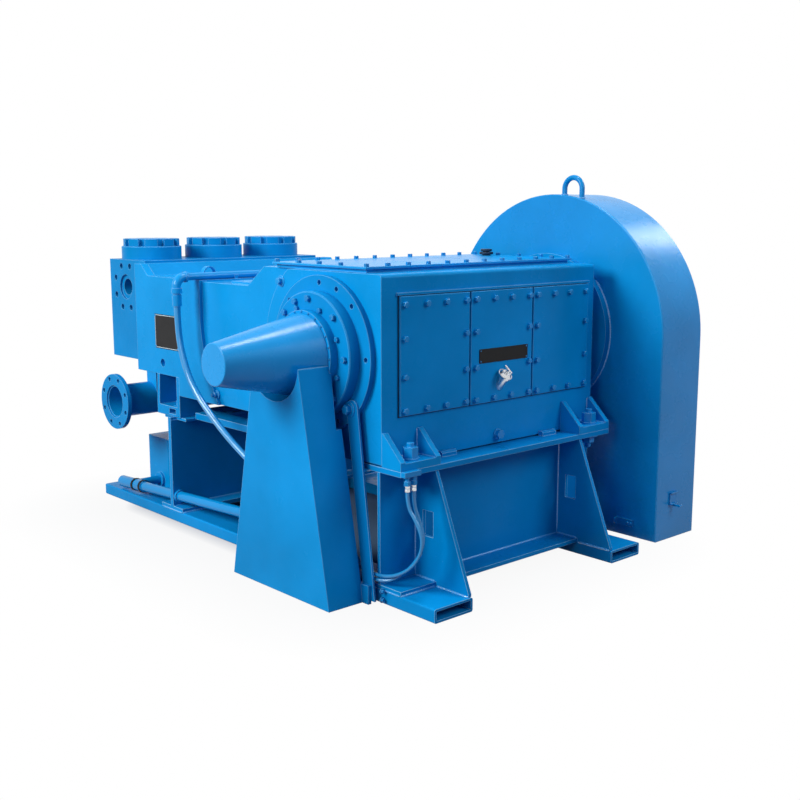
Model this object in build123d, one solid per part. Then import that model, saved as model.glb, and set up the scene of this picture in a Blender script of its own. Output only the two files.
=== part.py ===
from build123d import *
import math
import os

# Triplex mud pump on its own skid. Millimetres, +Z up, ground at z = 0.
# Layout frame: x = 0 is the pump's centre plane, -X the cone-guard side, +X the belt-guard side;
# y = 0 is the rear face of the crankcase and +Y points to the fluid end.
# The finished pieces are shifted so that the origin is the centre of the whole pump's footprint.

# ---- skid ----
SKID_HALF = 635.0
RAIL_WIDTH = 203.0
RAIL_HEIGHT = 56.0
RAIL_WALL = 10.0
RAIL_CORNER = 8.0
RAIL_REAR = -298.0
RAIL_FRONT = 2289.0

# ---- rear pedestal, under the crankcase ----
PLATE = 16.0
POWER_BASE_THICK = 18.0
SHELF_THICK = 22.0
SHELF_TOP = 548.0
POWER_WEB_REAR = 10.0
POWER_FLANGE_REACH = 120.0
GUSSET_TOE = -290.0
GUSSET_TOE_HEIGHT = 12.0
GUSSET_WINDOW = (-92.0, -33.0, 250.0, 354.0)
STOP_X = ((-337.0, -254.0), (277.0, 365.0))
STOP_HEIGHT = 22.0
STOP_DEPTH = 27.0

# ---- front pedestal, under the cradle ----
FLUID_WEB_Y = 1586.0
FLUID_WEB = 25.0
FLUID_FLANGE_HALF = 98.0
FLUID_BASE_THICK = 20.0
FLUID_CAP_BOTTOM = 508.0
FLUID_CAP_TOP = 522.0
FLUID_CAP_HALF = 600.0
TIE_TOP = 547.0
TIE_THICK = 32.0
TIE_WIDTH = 100.0
TIE_OUTER = 545.0

# ---- crankcase ----
CASE_HALF = 635.0
CASE_BOTTOM = 555.0
CASE_TOP = 1286.0
CASE_EDGE_ROUND = 16.0
CRANK_Y = 345.0
CRANK_Z = 960.0
NOSE_RADIUS = 405.0
XHEAD_HALF = 590.0
XHEAD_BOTTOM = 632.0
XHEAD_TOP = 1196.0
XHEAD_SHOULDER_TOP_Y = 818.0
XHEAD_SHOULDER_LOW_Y = 945.0
XHEAD_END = 1321.0
XHEAD_COVER = (545.0, 960.0, 1142.0, 10.0)
FOOT_THICK = 30.0
FOOT_DEPTH = 110.0
FOOT_WIDTH = 210.0
FOOT_GUSSET = 25.0
FOOT_GUSSET_TOP = 682.0
FOOT_GUSSET_FLAT = 8.0
HOLD_DOWN_X = 545.0
HOLD_DOWN_Y = -65.0
HOLD_DOWN_ACROSS = 55.0

# ---- covers and fittings of the crankcase ----
COVER_THICK = 12.0
REAR_COVER_EDGES = ((-549.0, -171.0), (-163.0, 209.0), (217.0, 585.0))
REAR_COVER_BOTTOM = 736.0
REAR_COVER_TOP = 1201.0
TOP_COVER_HALF = 614.0
TOP_COVER_REAR = 112.0
TOP_COVER_FRONT = 722.0
TOP_COVER_BOTTOM = 1300.0
TOP_COVER_TOP = 1310.0
TOP_FRAME_INSET = 14.0
COVER_SEAM = 3.0
LABEL_X = (-115.0, 179.0)
LABEL_Z = (904.0, 962.0)
LABEL_THICK = 3.0
FILLER_X = 12.6
FILLER_Z = 815.0
FILLER_TILT = 50.0
DRAIN_PLUG_X = 14.0
DRAIN_PLUG_Z = 592.0
BREATHER_X = 520.0
BREATHER_Y = 558.0

# ---- cradle between crosshead housing and fluid end ----
CRADLE_HALF = 606.0
CRADLE_WALL = 40.0
CRADLE_BOTTOM = 722.0
CRADLE_LOW = 632.0
CRADLE_TOP = 1203.0
CRADLE_HORN_TOP = 1259.0
CRADLE_STEP_Y = 1530.0
CRADLE_END = 1926.0
CRADLE_ARC_RADIUS = 698.0
CRADLE_ARC_Z = 1050.0
HORN_FLAT = 64.0
HORN_REACH = 130.0
DECK_THICK = 12.0
DECK_HANDLE_X = (-466.0, -396.0)
DECK_HANDLE_Y = 1500.0
DECK_HANDLE_HEIGHT = 53.0
DECK_HANDLE_STRAP = (25.0, 6.0)
PIN_HOLE_Y = 1677.0
PIN_HOLE_Z = 780.0
PIN_HOLE_RADIUS = 20.0
PIN_HOLE_DEPTH = 25.0
NAMEPLATE_Y = (1518.0, 1736.0)
NAMEPLATE_Z = (852.0, 1020.0)
NAMEPLATE_THICK = 3.0
CRADLE_FOOT_DEPTH = 150.0
CRADLE_FOOT_FLOOR = 48.0
CRADLE_FOOT_CHEEK = 27.0
CRADLE_FOOT_TOE_Y = 1744.0
CRADLE_FOOT_HEAD_Y = 1735.0
CRADLE_FOOT_CHEEK_LEAN = 22.0
FOOT_SLOT_Y = (1571.0, 1631.0)
FOOT_SLOT_HEIGHT = 25.0

# ---- fluid end ----
BLOCK_HALF = 548.0
BLOCK_REAR = 1926.0
BLOCK_FRONT = 2295.0
BLOCK_BOTTOM = 757.0
BLOCK_TOP = 1270.0
POT_PITCH = 383.0
POT_Y = 2140.0
POT_RADIUS = 155.0
POT_RING_TOP = 1338.0
POT_CAP_RADIUS = 145.0
POT_CAP_TOP = 1376.0
POT_LUGS = 9
HEAD_RADIUS = 130.0
HEAD_PROUD = 45.0
HEAD_LUGS = 8
PORT_Y = 2127.0
PORT_Z = 1129.0
PORT_PCD = 230.0
PORT_HOLE = 30.0
PORT_HOLE_DEPTH = 35.0
PORT_BORE = 84.0
PORT_DEPTH = 120.0
PORT_RECESS = 12.0
PORT_RECESS_RADIUS = 64.0
# The block is turned round between boring its two ends, so their centres differ by this much.
SETUP_SHIFT = 0.01

LINER_RADIUS = 102.0
LINER_BORE = 82.0
LINER_REAR = 1700.0
LINER_CLAMP_RADIUS = 138.0
LINER_CLAMP_THICK = 42.0
PISTON_RADIUS = 80.0
PISTON_Y = (1770.0, 1840.0)
ROD_RADIUS = 32.0
ROD_CLAMP_RADIUS = 56.0
ROD_CLAMP_Y = (1520.0, 1585.0)
GLAND_RADIUS = 92.0
GLAND_THICK = 20.0

# ---- suction side ----
SUCTION_Y = 2030.0
SUCTION_Z = 550.0
SUCTION_FACE = -693.0
SUCTION_FLANGE_OD = 285.0
SUCTION_FLANGE_THICK = 22.0
SUCTION_PIPE_OD = 168.0
SUCTION_BORE = 154.0
SUCTION_PCD = 240.0
SUCTION_HOLE = 23.0
SUCTION_END = 560.0
RISER_HALF = 107.0
RISER_REAR = 1955.0
RISER_FRONT = 2050.0

# ---- shaft ends and guards ----
RING_RADIUS = 312.0
RING_THICK = 25.0
RING_PCD = 565.0
RING_HOLE_RADIUS = 10.0
RING_HOLE_ANGLES = (0, 45, 90, 112.5, 135, 180, 247.5, 270, 292.5, 315)
CAP_RADIUS = 250.0
CAP_THICK = 52.0
COLLAR_RADIUS = 178.0
CONE_ROOT = -748.0
CONE_TIP = -1160.0
CONE_ROOT_RADIUS = 167.0
CONE_TIP_RADIUS = 81.0
STAND_TOP_Z = 947.0
STAND_FOOT = (-852.0, -680.0, 61.0, 713.0)
STAND_HEAD = (-896.0, -724.0, 180.0, 469.0)
STAND_SCALLOP = 168.0
STAND_NOTCH_X = -739.0
STAND_NOTCH_Z = 687.0
STRAP_WIDTH = 65.0
STRAP_THICK = 9.0
STRAP_HEAD = (136.0, 766.0)
STRAP_FOOT = (38.0, 12.0)
GUARD_INNER = 748.0
GUARD_OUTER = 1048.0
GUARD_RADIUS = 648.0
GUARD_BOTTOM = 30.0
GUARD_CENTRE_Z = 950.0
GUARD_EDGE_ROUND = 6.0
HUB_RING_RADIUS = 362.0
EYE_ROD = 12.5
EYE_X = 767.0
EYE_Y = 237.5
EYE_HALF = 51.5
EYE_TOP = 1686.0
HANDLE_Y = (-184.0, -88.0)
HANDLE_Z = 95.5
HANDLE_WIDTH = 31.0
HANDLE_THICK = 8.0
HANDLE_RISE = 24.0
HOOK_REACH = 45.0
HOOK_X = (848.0, 900.0)
HOOK_Z = (190.0, 249.0)
HOOK_PLATE = 6.0
HOOK_LIP = 14.0
HOOK_ROD = 5.0

# ---- drain box and pipes ----
DRAIN_BOX_HALF = 440.0
DRAIN_BOX_Y = (1940.0, 2155.0)
DRAIN_BOX_TOP = 325.0
DRAIN_PIPE_X = -600.0
DRAIN_PIPE_RADIUS = 25.0
DRAIN_PIPE_END = 2155.0
DRAIN_PIPE_END_Z = 91.5
DRAIN_PIPE_RISE = 3.0
DRAIN_PIPE_LENGTH = 1825.0
DRAIN_SLEEVE_RADIUS = 30.0
DRAIN_SLEEVE_LENGTH = 235.0
DRAIN_COLLAR_RADIUS = 32.0
DRAIN_BRANCH_Y = 2030.0
DRAIN_BRANCH_RADIUS = 22.0
DRAIN_BOSS = (40.0, 14.0)
CLAMP_Y = (2007.0, 1932.0)
CLAMP_HALF = 8.0
LUBE_PIPE_RADIUS = 16.5
LUBE_Y = 1338.0
LUBE_Z = 1220.0
LUBE_LEG_X = -715.0
LUBE_LEG_END = 1088.0
LUBE_BEND = 42.0
LUBE_ELBOW_RADIUS = 21.0
LUBE_ELBOW_LEG = 10.0
LUBE_COLLAR_RADIUS = 25.0
LUBE_COLLARS = ((1147.0, 1171.0, 25.0), (1088.0, 1141.0, 21.5))
SADDLE_X = (-398.0, -40.0)
SADDLE_HALF = 10.0

# ---- hoses: corner points of each run, bent with the radii printed at the end ----
LUBE_HOSE_RADIUS = 15.0
LUBE_HOSE = ((-715, 1338, 1088), (-715, 1338, 978), (-714, 1311, 868), (-711, 1262, 766), (-706, 1191, 681),
             (-701, 1103, 612), (-698, 1011, 549), (-696, 915, 496), (-689, 817, 443), (-663, 726, 389),
             (-600, 640, 327), (-600, 572, 259))
SMALL_HOSE_RADIUS = 7.5
SMALL_HOSE_A = ((-613, -122, 471), (-613, -122, 415), (-602, -162, 360), (-595, -188, 298), (-596, -181, 237),
                (-604, -149, 184), (-618, -99, 143), (-634, -40, 119), (-647.5, 23, 115), (-647, 84, 124),
                (-638, 142, 145), (-620, 198, 177), (-600, 255, 207.6), (-600, 309, 207.6))
SMALL_HOSE_B = ((-580, -122, 471), (-580, -122, 414), (-570, -147, 351), (-563, -162, 288), (-567, -152, 227),
                (-580, -121, 175), (-602, -80, 130), (-628, -34, 99), (-648, 16, 96), (-647, 80, 102),
                (-638, 140, 124), (-622, 200, 155), (-600, 257, 183.6), (-600, 309, 183.6))
HOSE_BLOCK = (-635.0, -552.0, -134.0, 529.0, 549.0)
HOSE_NIPPLE_END = 512.0
HOSE_NUT_END = 495.0
HOSE_NUT_ACROSS = 24.0
HOSE_FERRULE_RADIUS = 10.5

# ---- overall footprint, which the origin is the centre of ----
SHIFT_X = -(CONE_TIP + GUARD_OUTER) / 2
SHIFT_Y = -(CRANK_Y - GUARD_RADIUS - HOOK_REACH + BLOCK_FRONT + HEAD_PROUD) / 2
PAST = 1.0


def block(x0, x1, y0, y1, z0, z1):
    """Box between two corners."""
    return Pos((x0 + x1) / 2, (y0 + y1) / 2, (z0 + z1) / 2) * Box(abs(x1 - x0), abs(y1 - y0), abs(z1 - z0))


def plate_x(outline, x0, x1):
    """Plate with a (y, z) outline, thick from x0 to x1."""
    plane = Plane(origin=(x0, 0, 0), x_dir=(0, 1, 0), z_dir=(1, 0, 0))
    return extrude(plane * Polygon(*outline, align=None), x1 - x0, dir=(1, 0, 0))


def disc_x(radius, y, z, x0, x1):
    """Round bar along X."""
    return Pos((x0 + x1) / 2, y, z) * Rot(0, 90, 0) * Cylinder(radius, abs(x1 - x0))


def disc_y(radius, x, z, y0, y1):
    """Round bar along Y."""
    return Pos(x, (y0 + y1) / 2, z) * Rot(90, 0, 0) * Cylinder(radius, abs(y1 - y0))


def disc_z(radius, x, y, z0, z1):
    """Round bar along Z."""
    return Pos(x, y, (z0 + z1) / 2) * Cylinder(radius, abs(z1 - z0))


def hex_z(across, x, y, z0, z1):
    """Hexagon nut body standing on z0."""
    return Pos(x, y, z0) * extrude(RegularPolygon(across / math.sqrt(3), 6), z1 - z0)


def ring_holes(radius, circle, count, y, z, x0, x1):
    """Round holes along X, evenly spaced on a circle and none of them at its top."""
    holes = []
    for i in range(count):
        angle = math.radians((i + 0.5) * 360 / count)
        holes.append(disc_x(radius, y + circle / 2 * math.cos(angle), z + circle / 2 * math.sin(angle), x0, x1))
    return holes


def on_side(solid, sign):
    """A piece drawn on the -X side, kept there or mirrored to the +X side."""
    return solid if sign < 0 else mirror(solid, about=Plane.YZ)


def both_sides(solid):
    """The piece drawn on the -X side together with its mirror image."""
    return Compound(children=[solid, on_side(solid, 1)])


def three_of(make):
    """The same piece made once for each of the three cylinders."""
    return Compound(children=[make(i * POT_PITCH) for i in (-1, 0, 1)])


def rail():
    """Open-ended rectangular tube of the skid."""
    outer = block(-SKID_HALF, -SKID_HALF + RAIL_WIDTH, RAIL_REAR, RAIL_FRONT, 0, RAIL_HEIGHT)
    outer = fillet(outer.edges().filter_by(Axis.Y), RAIL_CORNER)
    bore = block(-SKID_HALF + RAIL_WALL, -SKID_HALF + RAIL_WIDTH - RAIL_WALL,
                 RAIL_REAR - PAST, RAIL_FRONT + PAST, RAIL_WALL, RAIL_HEIGHT - RAIL_WALL)
    return outer - bore


def power_pedestal():
    """Base, web and shelf under the rear of the crankcase; two stops stand on the shelf."""
    rear = POWER_WEB_REAR - POWER_FLANGE_REACH
    front = POWER_WEB_REAR + PLATE + POWER_FLANGE_REACH
    base_top = RAIL_HEIGHT + POWER_BASE_THICK
    shelf_bottom = SHELF_TOP - SHELF_THICK
    base = block(-SKID_HALF, SKID_HALF, rear, front, RAIL_HEIGHT, base_top)
    web = block(-SKID_HALF, SKID_HALF, POWER_WEB_REAR, POWER_WEB_REAR + PLATE, base_top, shelf_bottom)
    shelf = block(-SKID_HALF, SKID_HALF, rear, front, shelf_bottom, SHELF_TOP)
    for x0, x1 in STOP_X:
        stop = block(x0, x1, -STOP_DEPTH, 0, SHELF_TOP, SHELF_TOP + STOP_HEIGHT)
        shelf += chamfer(stop.edges().filter_by(Axis.X).group_by(Axis.Z)[-1].sort_by(Axis.Y)[0], STOP_HEIGHT / 3)
    return base, web, shelf


def power_gusset():
    """Triangular gusset behind the rear pedestal, with a slinging window and a toe on the rail."""
    rear = POWER_WEB_REAR - POWER_FLANGE_REACH
    base_top = RAIL_HEIGHT + POWER_BASE_THICK
    shelf_bottom = SHELF_TOP - SHELF_THICK
    inner = -SKID_HALF + RAIL_WIDTH
    outline = [(POWER_WEB_REAR, base_top), (rear, base_top), (rear, RAIL_HEIGHT), (GUSSET_TOE, RAIL_HEIGHT),
               (GUSSET_TOE, RAIL_HEIGHT + GUSSET_TOE_HEIGHT), (rear + GUSSET_TOE_HEIGHT / 2, shelf_bottom),
               (POWER_WEB_REAR, shelf_bottom)]
    gusset = plate_x(outline, inner - PLATE, inner)
    y0, y1, z0, z1 = GUSSET_WINDOW
    return gusset - block(inner - PLATE - PAST, inner + PAST, y0, y1, z0, z1)


def drain_pipe_plane():
    """Plane across the drain pipe at its low end, its normal running up along the pipe."""
    rise = math.radians(DRAIN_PIPE_RISE)
    return Plane(origin=(DRAIN_PIPE_X, DRAIN_PIPE_END, DRAIN_PIPE_END_Z), x_dir=(1, 0, 0),
                 z_dir=(0, -math.cos(rise), math.sin(rise)))


def along_drain_pipe(radius, start, end):
    """Round bar on the drain pipe's axis, between two distances from its low end."""
    return drain_pipe_plane() * Pos(0, 0, (start + end) / 2) * Cylinder(radius, end - start)


def fluid_pedestal():
    """I-shaped pedestal under the cradle, its web bored for the drain pipe."""
    y0, y1 = FLUID_WEB_Y - FLUID_FLANGE_HALF, FLUID_WEB_Y + FLUID_FLANGE_HALF
    base = block(-SKID_HALF, SKID_HALF, y0, y1, RAIL_HEIGHT, RAIL_HEIGHT + FLUID_BASE_THICK)
    web = block(-SKID_HALF, SKID_HALF, FLUID_WEB_Y - FLUID_WEB / 2, FLUID_WEB_Y + FLUID_WEB / 2,
                RAIL_HEIGHT, FLUID_CAP_TOP)
    web -= along_drain_pipe(DRAIN_PIPE_RADIUS + 2, 0, DRAIN_PIPE_LENGTH)
    cap = block(-FLUID_CAP_HALF, FLUID_CAP_HALF, y0, y1, FLUID_CAP_BOTTOM, FLUID_CAP_TOP)
    return base + web + fillet(cap.edges().filter_by(Axis.X), 3)


def tie_bar():
    """Flat bar joining the two pedestals under the crankcase."""
    y0 = POWER_WEB_REAR + PLATE + POWER_FLANGE_REACH
    y1 = FLUID_WEB_Y - FLUID_FLANGE_HALF
    return block(-TIE_OUTER, -TIE_OUTER + TIE_WIDTH, y0, y1, TIE_TOP - TIE_THICK, TIE_TOP)


def crankcase():
    """Round-nosed crankcase with the narrower crosshead housing in front of it."""
    body = block(-CASE_HALF, CASE_HALF, 0, CRANK_Y, CASE_BOTTOM, CASE_TOP)
    body = fillet(body.edges().filter_by(Axis.X).group_by(Axis.Z)[-1].sort_by(Axis.Y)[0], CASE_EDGE_ROUND)
    nose = disc_x(NOSE_RADIUS, CRANK_Y, CRANK_Z, -CASE_HALF, CASE_HALF)
    nose &= block(-CASE_HALF, CASE_HALF, CRANK_Y, CRANK_Y + NOSE_RADIUS + PAST, CASE_BOTTOM - PAST, CASE_TOP)
    outline = [(CRANK_Y, XHEAD_BOTTOM), (CRANK_Y, CASE_TOP), (XHEAD_SHOULDER_TOP_Y, CASE_TOP),
               (XHEAD_SHOULDER_LOW_Y, XHEAD_TOP), (XHEAD_END, XHEAD_TOP), (XHEAD_END, XHEAD_BOTTOM)]
    first, last = REAR_COVER_EDGES[0][0], REAR_COVER_EDGES[-1][1]
    lip_depth, lip_gap, lip_thick = 10, 3, 10
    lip = block(first - lip_depth, last + lip_depth, -lip_depth, 0,
                REAR_COVER_TOP + lip_gap, REAR_COVER_TOP + lip_gap + lip_thick)
    frame_half = TOP_COVER_HALF - TOP_FRAME_INSET
    frame = block(-frame_half, frame_half, TOP_COVER_REAR + TOP_FRAME_INSET, TOP_COVER_FRONT - TOP_FRAME_INSET,
                  CASE_TOP, TOP_COVER_BOTTOM)
    half, cover_rear, cover_front, cover_thick = XHEAD_COVER
    cover = block(-half, half, cover_rear, cover_front, XHEAD_TOP, XHEAD_TOP + cover_thick)
    return body + nose + plate_x(outline, -XHEAD_HALF, XHEAD_HALF) + lip + frame + cover


def crankcase_foot():
    """Foot plate with two gussets, welded to the rear face."""
    x0 = -CASE_HALF
    top = SHELF_TOP + FOOT_THICK
    foot = block(x0, x0 + FOOT_WIDTH, -FOOT_DEPTH, 0, SHELF_TOP, top)
    outline = [(0, top), (-FOOT_DEPTH, top), (-FOOT_DEPTH, top + FOOT_GUSSET_FLAT / 2),
               (-FOOT_GUSSET_FLAT, FOOT_GUSSET_TOP), (0, FOOT_GUSSET_TOP)]
    for gusset_x in (x0, x0 + FOOT_WIDTH - FOOT_GUSSET):
        foot += plate_x(outline, gusset_x, gusset_x + FOOT_GUSSET)
    return foot


def hold_down():
    """Washer, hexagon nut and stud end on a crankcase foot."""
    x, y, z = -HOLD_DOWN_X, HOLD_DOWN_Y, SHELF_TOP + FOOT_THICK
    washer_top = z + 8
    nut_top = washer_top + 0.76 * HOLD_DOWN_ACROSS
    washer = disc_z(0.65 * HOLD_DOWN_ACROSS, x, y, z, washer_top)
    stud = disc_z(0.27 * HOLD_DOWN_ACROSS, x, y, nut_top, nut_top + 16)
    return washer + hex_z(HOLD_DOWN_ACROSS, x, y, washer_top, nut_top) + stud


def rear_covers():
    """Three inspection covers on the rear face."""
    covers = []
    for x0, x1 in REAR_COVER_EDGES:
        cover = block(x0, x1, -COVER_THICK, 0, REAR_COVER_BOTTOM, REAR_COVER_TOP)
        covers.append(chamfer(cover.faces().sort_by(Axis.Y)[0].edges(), 2))
    return Compound(children=covers)


def top_covers():
    """Three crankcase covers side by side on the raised frame."""
    width = 2 * TOP_COVER_HALF / 3
    covers = []
    for i in range(3):
        x0 = -TOP_COVER_HALF + i * width
        cover = block(x0, x0 + width - COVER_SEAM, TOP_COVER_REAR, TOP_COVER_FRONT, TOP_COVER_BOTTOM, TOP_COVER_TOP)
        covers.append(chamfer(cover.faces().sort_by(Axis.Z)[-1].edges(), 2))
    return Compound(children=covers)


def label_plate():
    """Blank plate on the middle rear cover."""
    plate = block(*LABEL_X, -COVER_THICK - LABEL_THICK, -COVER_THICK, *LABEL_Z)
    return fillet(plate.edges().filter_by(Axis.Y), 4)


def oil_filler():
    """Slanted filler neck with its clamp ring, cap and tommy bar, on the middle rear cover."""
    tilt = math.radians(FILLER_TILT)
    neck, neck_top, ring_top, cap_top, bar_at = 24, 37, 47, 57, 74
    axis = Plane(origin=(FILLER_X, -COVER_THICK, FILLER_Z), x_dir=(1, 0, 0),
                 z_dir=(0, -math.cos(tilt), math.sin(tilt)))
    filler = Pos(0, 0, (neck_top - neck) / 2) * Cylinder(neck, neck_top + neck)
    filler += Pos(0, 0, (neck_top + ring_top) / 2) * Cylinder(neck + 7, ring_top - neck_top)
    filler += Pos(0, 0, (ring_top + cap_top) / 2) * Cone(neck + 3, neck - 6, cap_top - ring_top)
    filler += Pos(0, 0, (cap_top + bar_at) / 2) * Cylinder(6, bar_at - cap_top)
    filler += Pos(0, 0, bar_at) * Rot(90, 0, 0) * Cylinder(5, 46)
    room = block(FILLER_X - 100, FILLER_X + 100, -200, -COVER_THICK, FILLER_Z - 100, FILLER_Z + 150)
    return (axis * filler) & room


def drain_plug():
    """Hexagon plug low on the rear face."""
    seat, head, across = 5, 23, 36
    plug = extrude(RegularPolygon(across / math.sqrt(3), 6), head)
    plane = Plane(origin=(DRAIN_PLUG_X, 0, DRAIN_PLUG_Z), x_dir=(1, 0, 0), z_dir=(0, -1, 0))
    return plane * plug + disc_y(across * 0.68, DRAIN_PLUG_X, DRAIN_PLUG_Z, -seat, 0)


def breather():
    """Low breather with a stem and two stacked caps, on the right-hand top cover."""
    z = TOP_COVER_TOP
    heights = (0, 5, 17, 20, 31)
    radii = (20, 33, 16, 27)
    piece = disc_z(radii[0], BREATHER_X, BREATHER_Y, z + heights[0], z + heights[1])
    for i in range(1, 4):
        step = disc_z(radii[i], BREATHER_X, BREATHER_Y, z + heights[i], z + heights[i + 1])
        piece += fillet(step.edges().filter_by(GeomType.CIRCLE), 3) if i != 2 else step
    return piece


def cradle_side():
    """Side wall that ties the crosshead housing to the fluid end."""
    centre_y = XHEAD_END - CRADLE_ARC_RADIUS

    def arc_point(z):
        return centre_y + math.sqrt(CRADLE_ARC_RADIUS**2 - (CRADLE_ARC_Z - z) ** 2), z

    low = arc_point(CRADLE_LOW)
    middle = arc_point((CRADLE_ARC_Z + CRADLE_LOW) / 2)
    with BuildLine(Plane(origin=(-CRADLE_HALF, 0, 0), x_dir=(0, 1, 0), z_dir=(1, 0, 0))) as line:
        ThreePointArc((XHEAD_END, CRADLE_ARC_Z), middle, low)
        Polyline(low, (CRADLE_STEP_Y, CRADLE_LOW), (CRADLE_STEP_Y, CRADLE_BOTTOM),
                 (CRADLE_END, CRADLE_BOTTOM), (CRADLE_END, CRADLE_HORN_TOP),
                 (CRADLE_END - HORN_FLAT, CRADLE_HORN_TOP), (CRADLE_END - HORN_REACH, CRADLE_TOP),
                 (XHEAD_END, CRADLE_TOP), (XHEAD_END, CRADLE_ARC_Z))
    wall = extrude(make_face(line.line), CRADLE_WALL, dir=(1, 0, 0))
    wall -= disc_x(PIN_HOLE_RADIUS, PIN_HOLE_Y, PIN_HOLE_Z, -CRADLE_HALF - PAST, -CRADLE_HALF + PIN_HOLE_DEPTH)
    return wall - block(-XHEAD_HALF, XHEAD_HALF, 0, XHEAD_END, XHEAD_BOTTOM, XHEAD_TOP)


def cradle_front():
    """Heavy cross plate that the fluid end is studded to, its top sloping down to the deck."""
    inner = CRADLE_HALF - CRADLE_WALL
    rear, foot, under = CRADLE_END - HORN_FLAT, CRADLE_END - HORN_REACH, CRADLE_TOP - DECK_THICK
    outline = [(CRADLE_END, CRADLE_BOTTOM), (CRADLE_END, CRADLE_HORN_TOP), (rear, CRADLE_HORN_TOP),
               (foot, CRADLE_TOP), (foot, under), (rear, under), (rear, CRADLE_BOTTOM)]
    return plate_x(outline, -inner, inner)


def cradle_deck():
    """Cover plate over the rod chamber, with a strap handle."""
    inner = CRADLE_HALF - CRADLE_WALL
    bottom, foot = CRADLE_TOP - DECK_THICK, CRADLE_END - HORN_REACH
    deck = block(-inner, inner, XHEAD_END, foot, bottom, CRADLE_TOP)
    (x0, x1), (width, thick) = DECK_HANDLE_X, DECK_HANDLE_STRAP
    y, radius, middle = DECK_HANDLE_Y, (x1 - x0) / 2, (x0 + x1) / 2
    shoulder = CRADLE_TOP + DECK_HANDLE_HEIGHT - radius
    outer = block(x0, x1, y, y + width, CRADLE_TOP, shoulder) + disc_y(radius, middle, shoulder, y, y + width)
    inner_half = radius - thick
    hole = block(middle - inner_half, middle + inner_half, y - PAST, y + width + PAST, CRADLE_TOP, shoulder)
    hole += disc_y(inner_half, middle, shoulder, y - PAST, y + width + PAST)
    return deck + (outer - hole)


def nameplate():
    """Blank plate on the outer side of the cradle."""
    return block(-CRADLE_HALF - NAMEPLATE_THICK, -CRADLE_HALF, *NAMEPLATE_Y, *NAMEPLATE_Z)


def cradle_foot():
    """Foot under the cradle side: two cheeks on a floor, open to the side, with a lift slot."""
    x0, x1 = -CRADLE_HALF, -CRADLE_HALF + CRADLE_FOOT_DEPTH
    floor = FLUID_CAP_TOP + CRADLE_FOOT_FLOOR
    toe, head, lean, cheek = CRADLE_FOOT_TOE_Y, CRADLE_FOOT_HEAD_Y, CRADLE_FOOT_CHEEK_LEAN, CRADLE_FOOT_CHEEK
    outline = [(CRADLE_STEP_Y, FLUID_CAP_TOP), (toe, FLUID_CAP_TOP), (toe, floor),
               (head, CRADLE_BOTTOM), (CRADLE_STEP_Y, CRADLE_BOTTOM)]
    pocket = [(CRADLE_STEP_Y + cheek, floor), (toe - lean, floor),
              (head - lean, CRADLE_BOTTOM + PAST), (CRADLE_STEP_Y + cheek, CRADLE_BOTTOM + PAST)]
    back = 15
    foot = plate_x(outline, x0, x1) - plate_x(pocket, x0 - PAST, x1 - back)
    slot_bottom = FLUID_CAP_TOP + (CRADLE_FOOT_FLOOR - FOOT_SLOT_HEIGHT) / 2
    return foot - block(x0 - PAST, x0 + 40, *FOOT_SLOT_Y, slot_bottom, slot_bottom + FOOT_SLOT_HEIGHT)


def bearing_ring():
    """Bolting ring round the crank bearing, with tapped holes."""
    face, rim = -CASE_HALF - RING_THICK, 6
    ring = disc_x(RING_RADIUS, CRANK_Y, CRANK_Z, face, -CASE_HALF)
    for angle in RING_HOLE_ANGLES:
        y = CRANK_Y + RING_PCD / 2 * math.cos(math.radians(angle))
        z = CRANK_Z + RING_PCD / 2 * math.sin(math.radians(angle))
        ring -= disc_x(RING_HOLE_RADIUS, y, z, face - PAST, -CASE_HALF - rim)
    return ring


def bearing_cap():
    """Bearing cap standing on the ring."""
    face = -CASE_HALF - RING_THICK
    cap = disc_x(CAP_RADIUS, CRANK_Y, CRANK_Z, face - CAP_THICK, face)
    return chamfer(cap.edges().sort_by(Axis.X)[0], 4)


def cone_guard():
    """Tapered shaft guard and the collar it is fixed to."""
    cap_face = -CASE_HALF - RING_THICK - CAP_THICK
    collar = disc_x(COLLAR_RADIUS, CRANK_Y, CRANK_Z, CONE_ROOT, cap_face)
    cone = Pos((CONE_ROOT + CONE_TIP) / 2, CRANK_Y, CRANK_Z) * Rot(0, 90, 0) * Cone(
        CONE_TIP_RADIUS, CONE_ROOT_RADIUS, CONE_ROOT - CONE_TIP)
    return collar, fillet(cone.edges().sort_by(Axis.X)[0], 5)


def cone_stand():
    """Tapered sheet-metal stand, scalloped round the cone and notched for the bearing cap."""
    def corners(x0, x1, y0, y1):
        return (x0, y0), (x1, y0), (x1, y1), (x0, y1)

    low = Plane.XY * Polygon(*corners(*STAND_FOOT), align=None)
    high = Plane.XY.offset(STAND_TOP_Z) * Polygon(*corners(*STAND_HEAD), align=None)
    stand = loft([low, high])
    stand -= disc_x(STAND_SCALLOP, CRANK_Y, CRANK_Z, CONE_TIP, CONE_ROOT)
    stand -= disc_x(COLLAR_RADIUS, CRANK_Y, CRANK_Z, CONE_ROOT, STAND_HEAD[1] + PAST)
    stand -= block(STAND_NOTCH_X, 0, 0, BLOCK_FRONT, STAND_NOTCH_Z, CASE_TOP)
    lug_thick, lug_reach, lug_top = 16, 36, 76
    face = -CASE_HALF - RING_THICK - STRAP_THICK
    y = STAND_FOOT[2]
    return stand + block(face - lug_thick, face, y - lug_reach, y + lug_reach, 0, lug_top)


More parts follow.
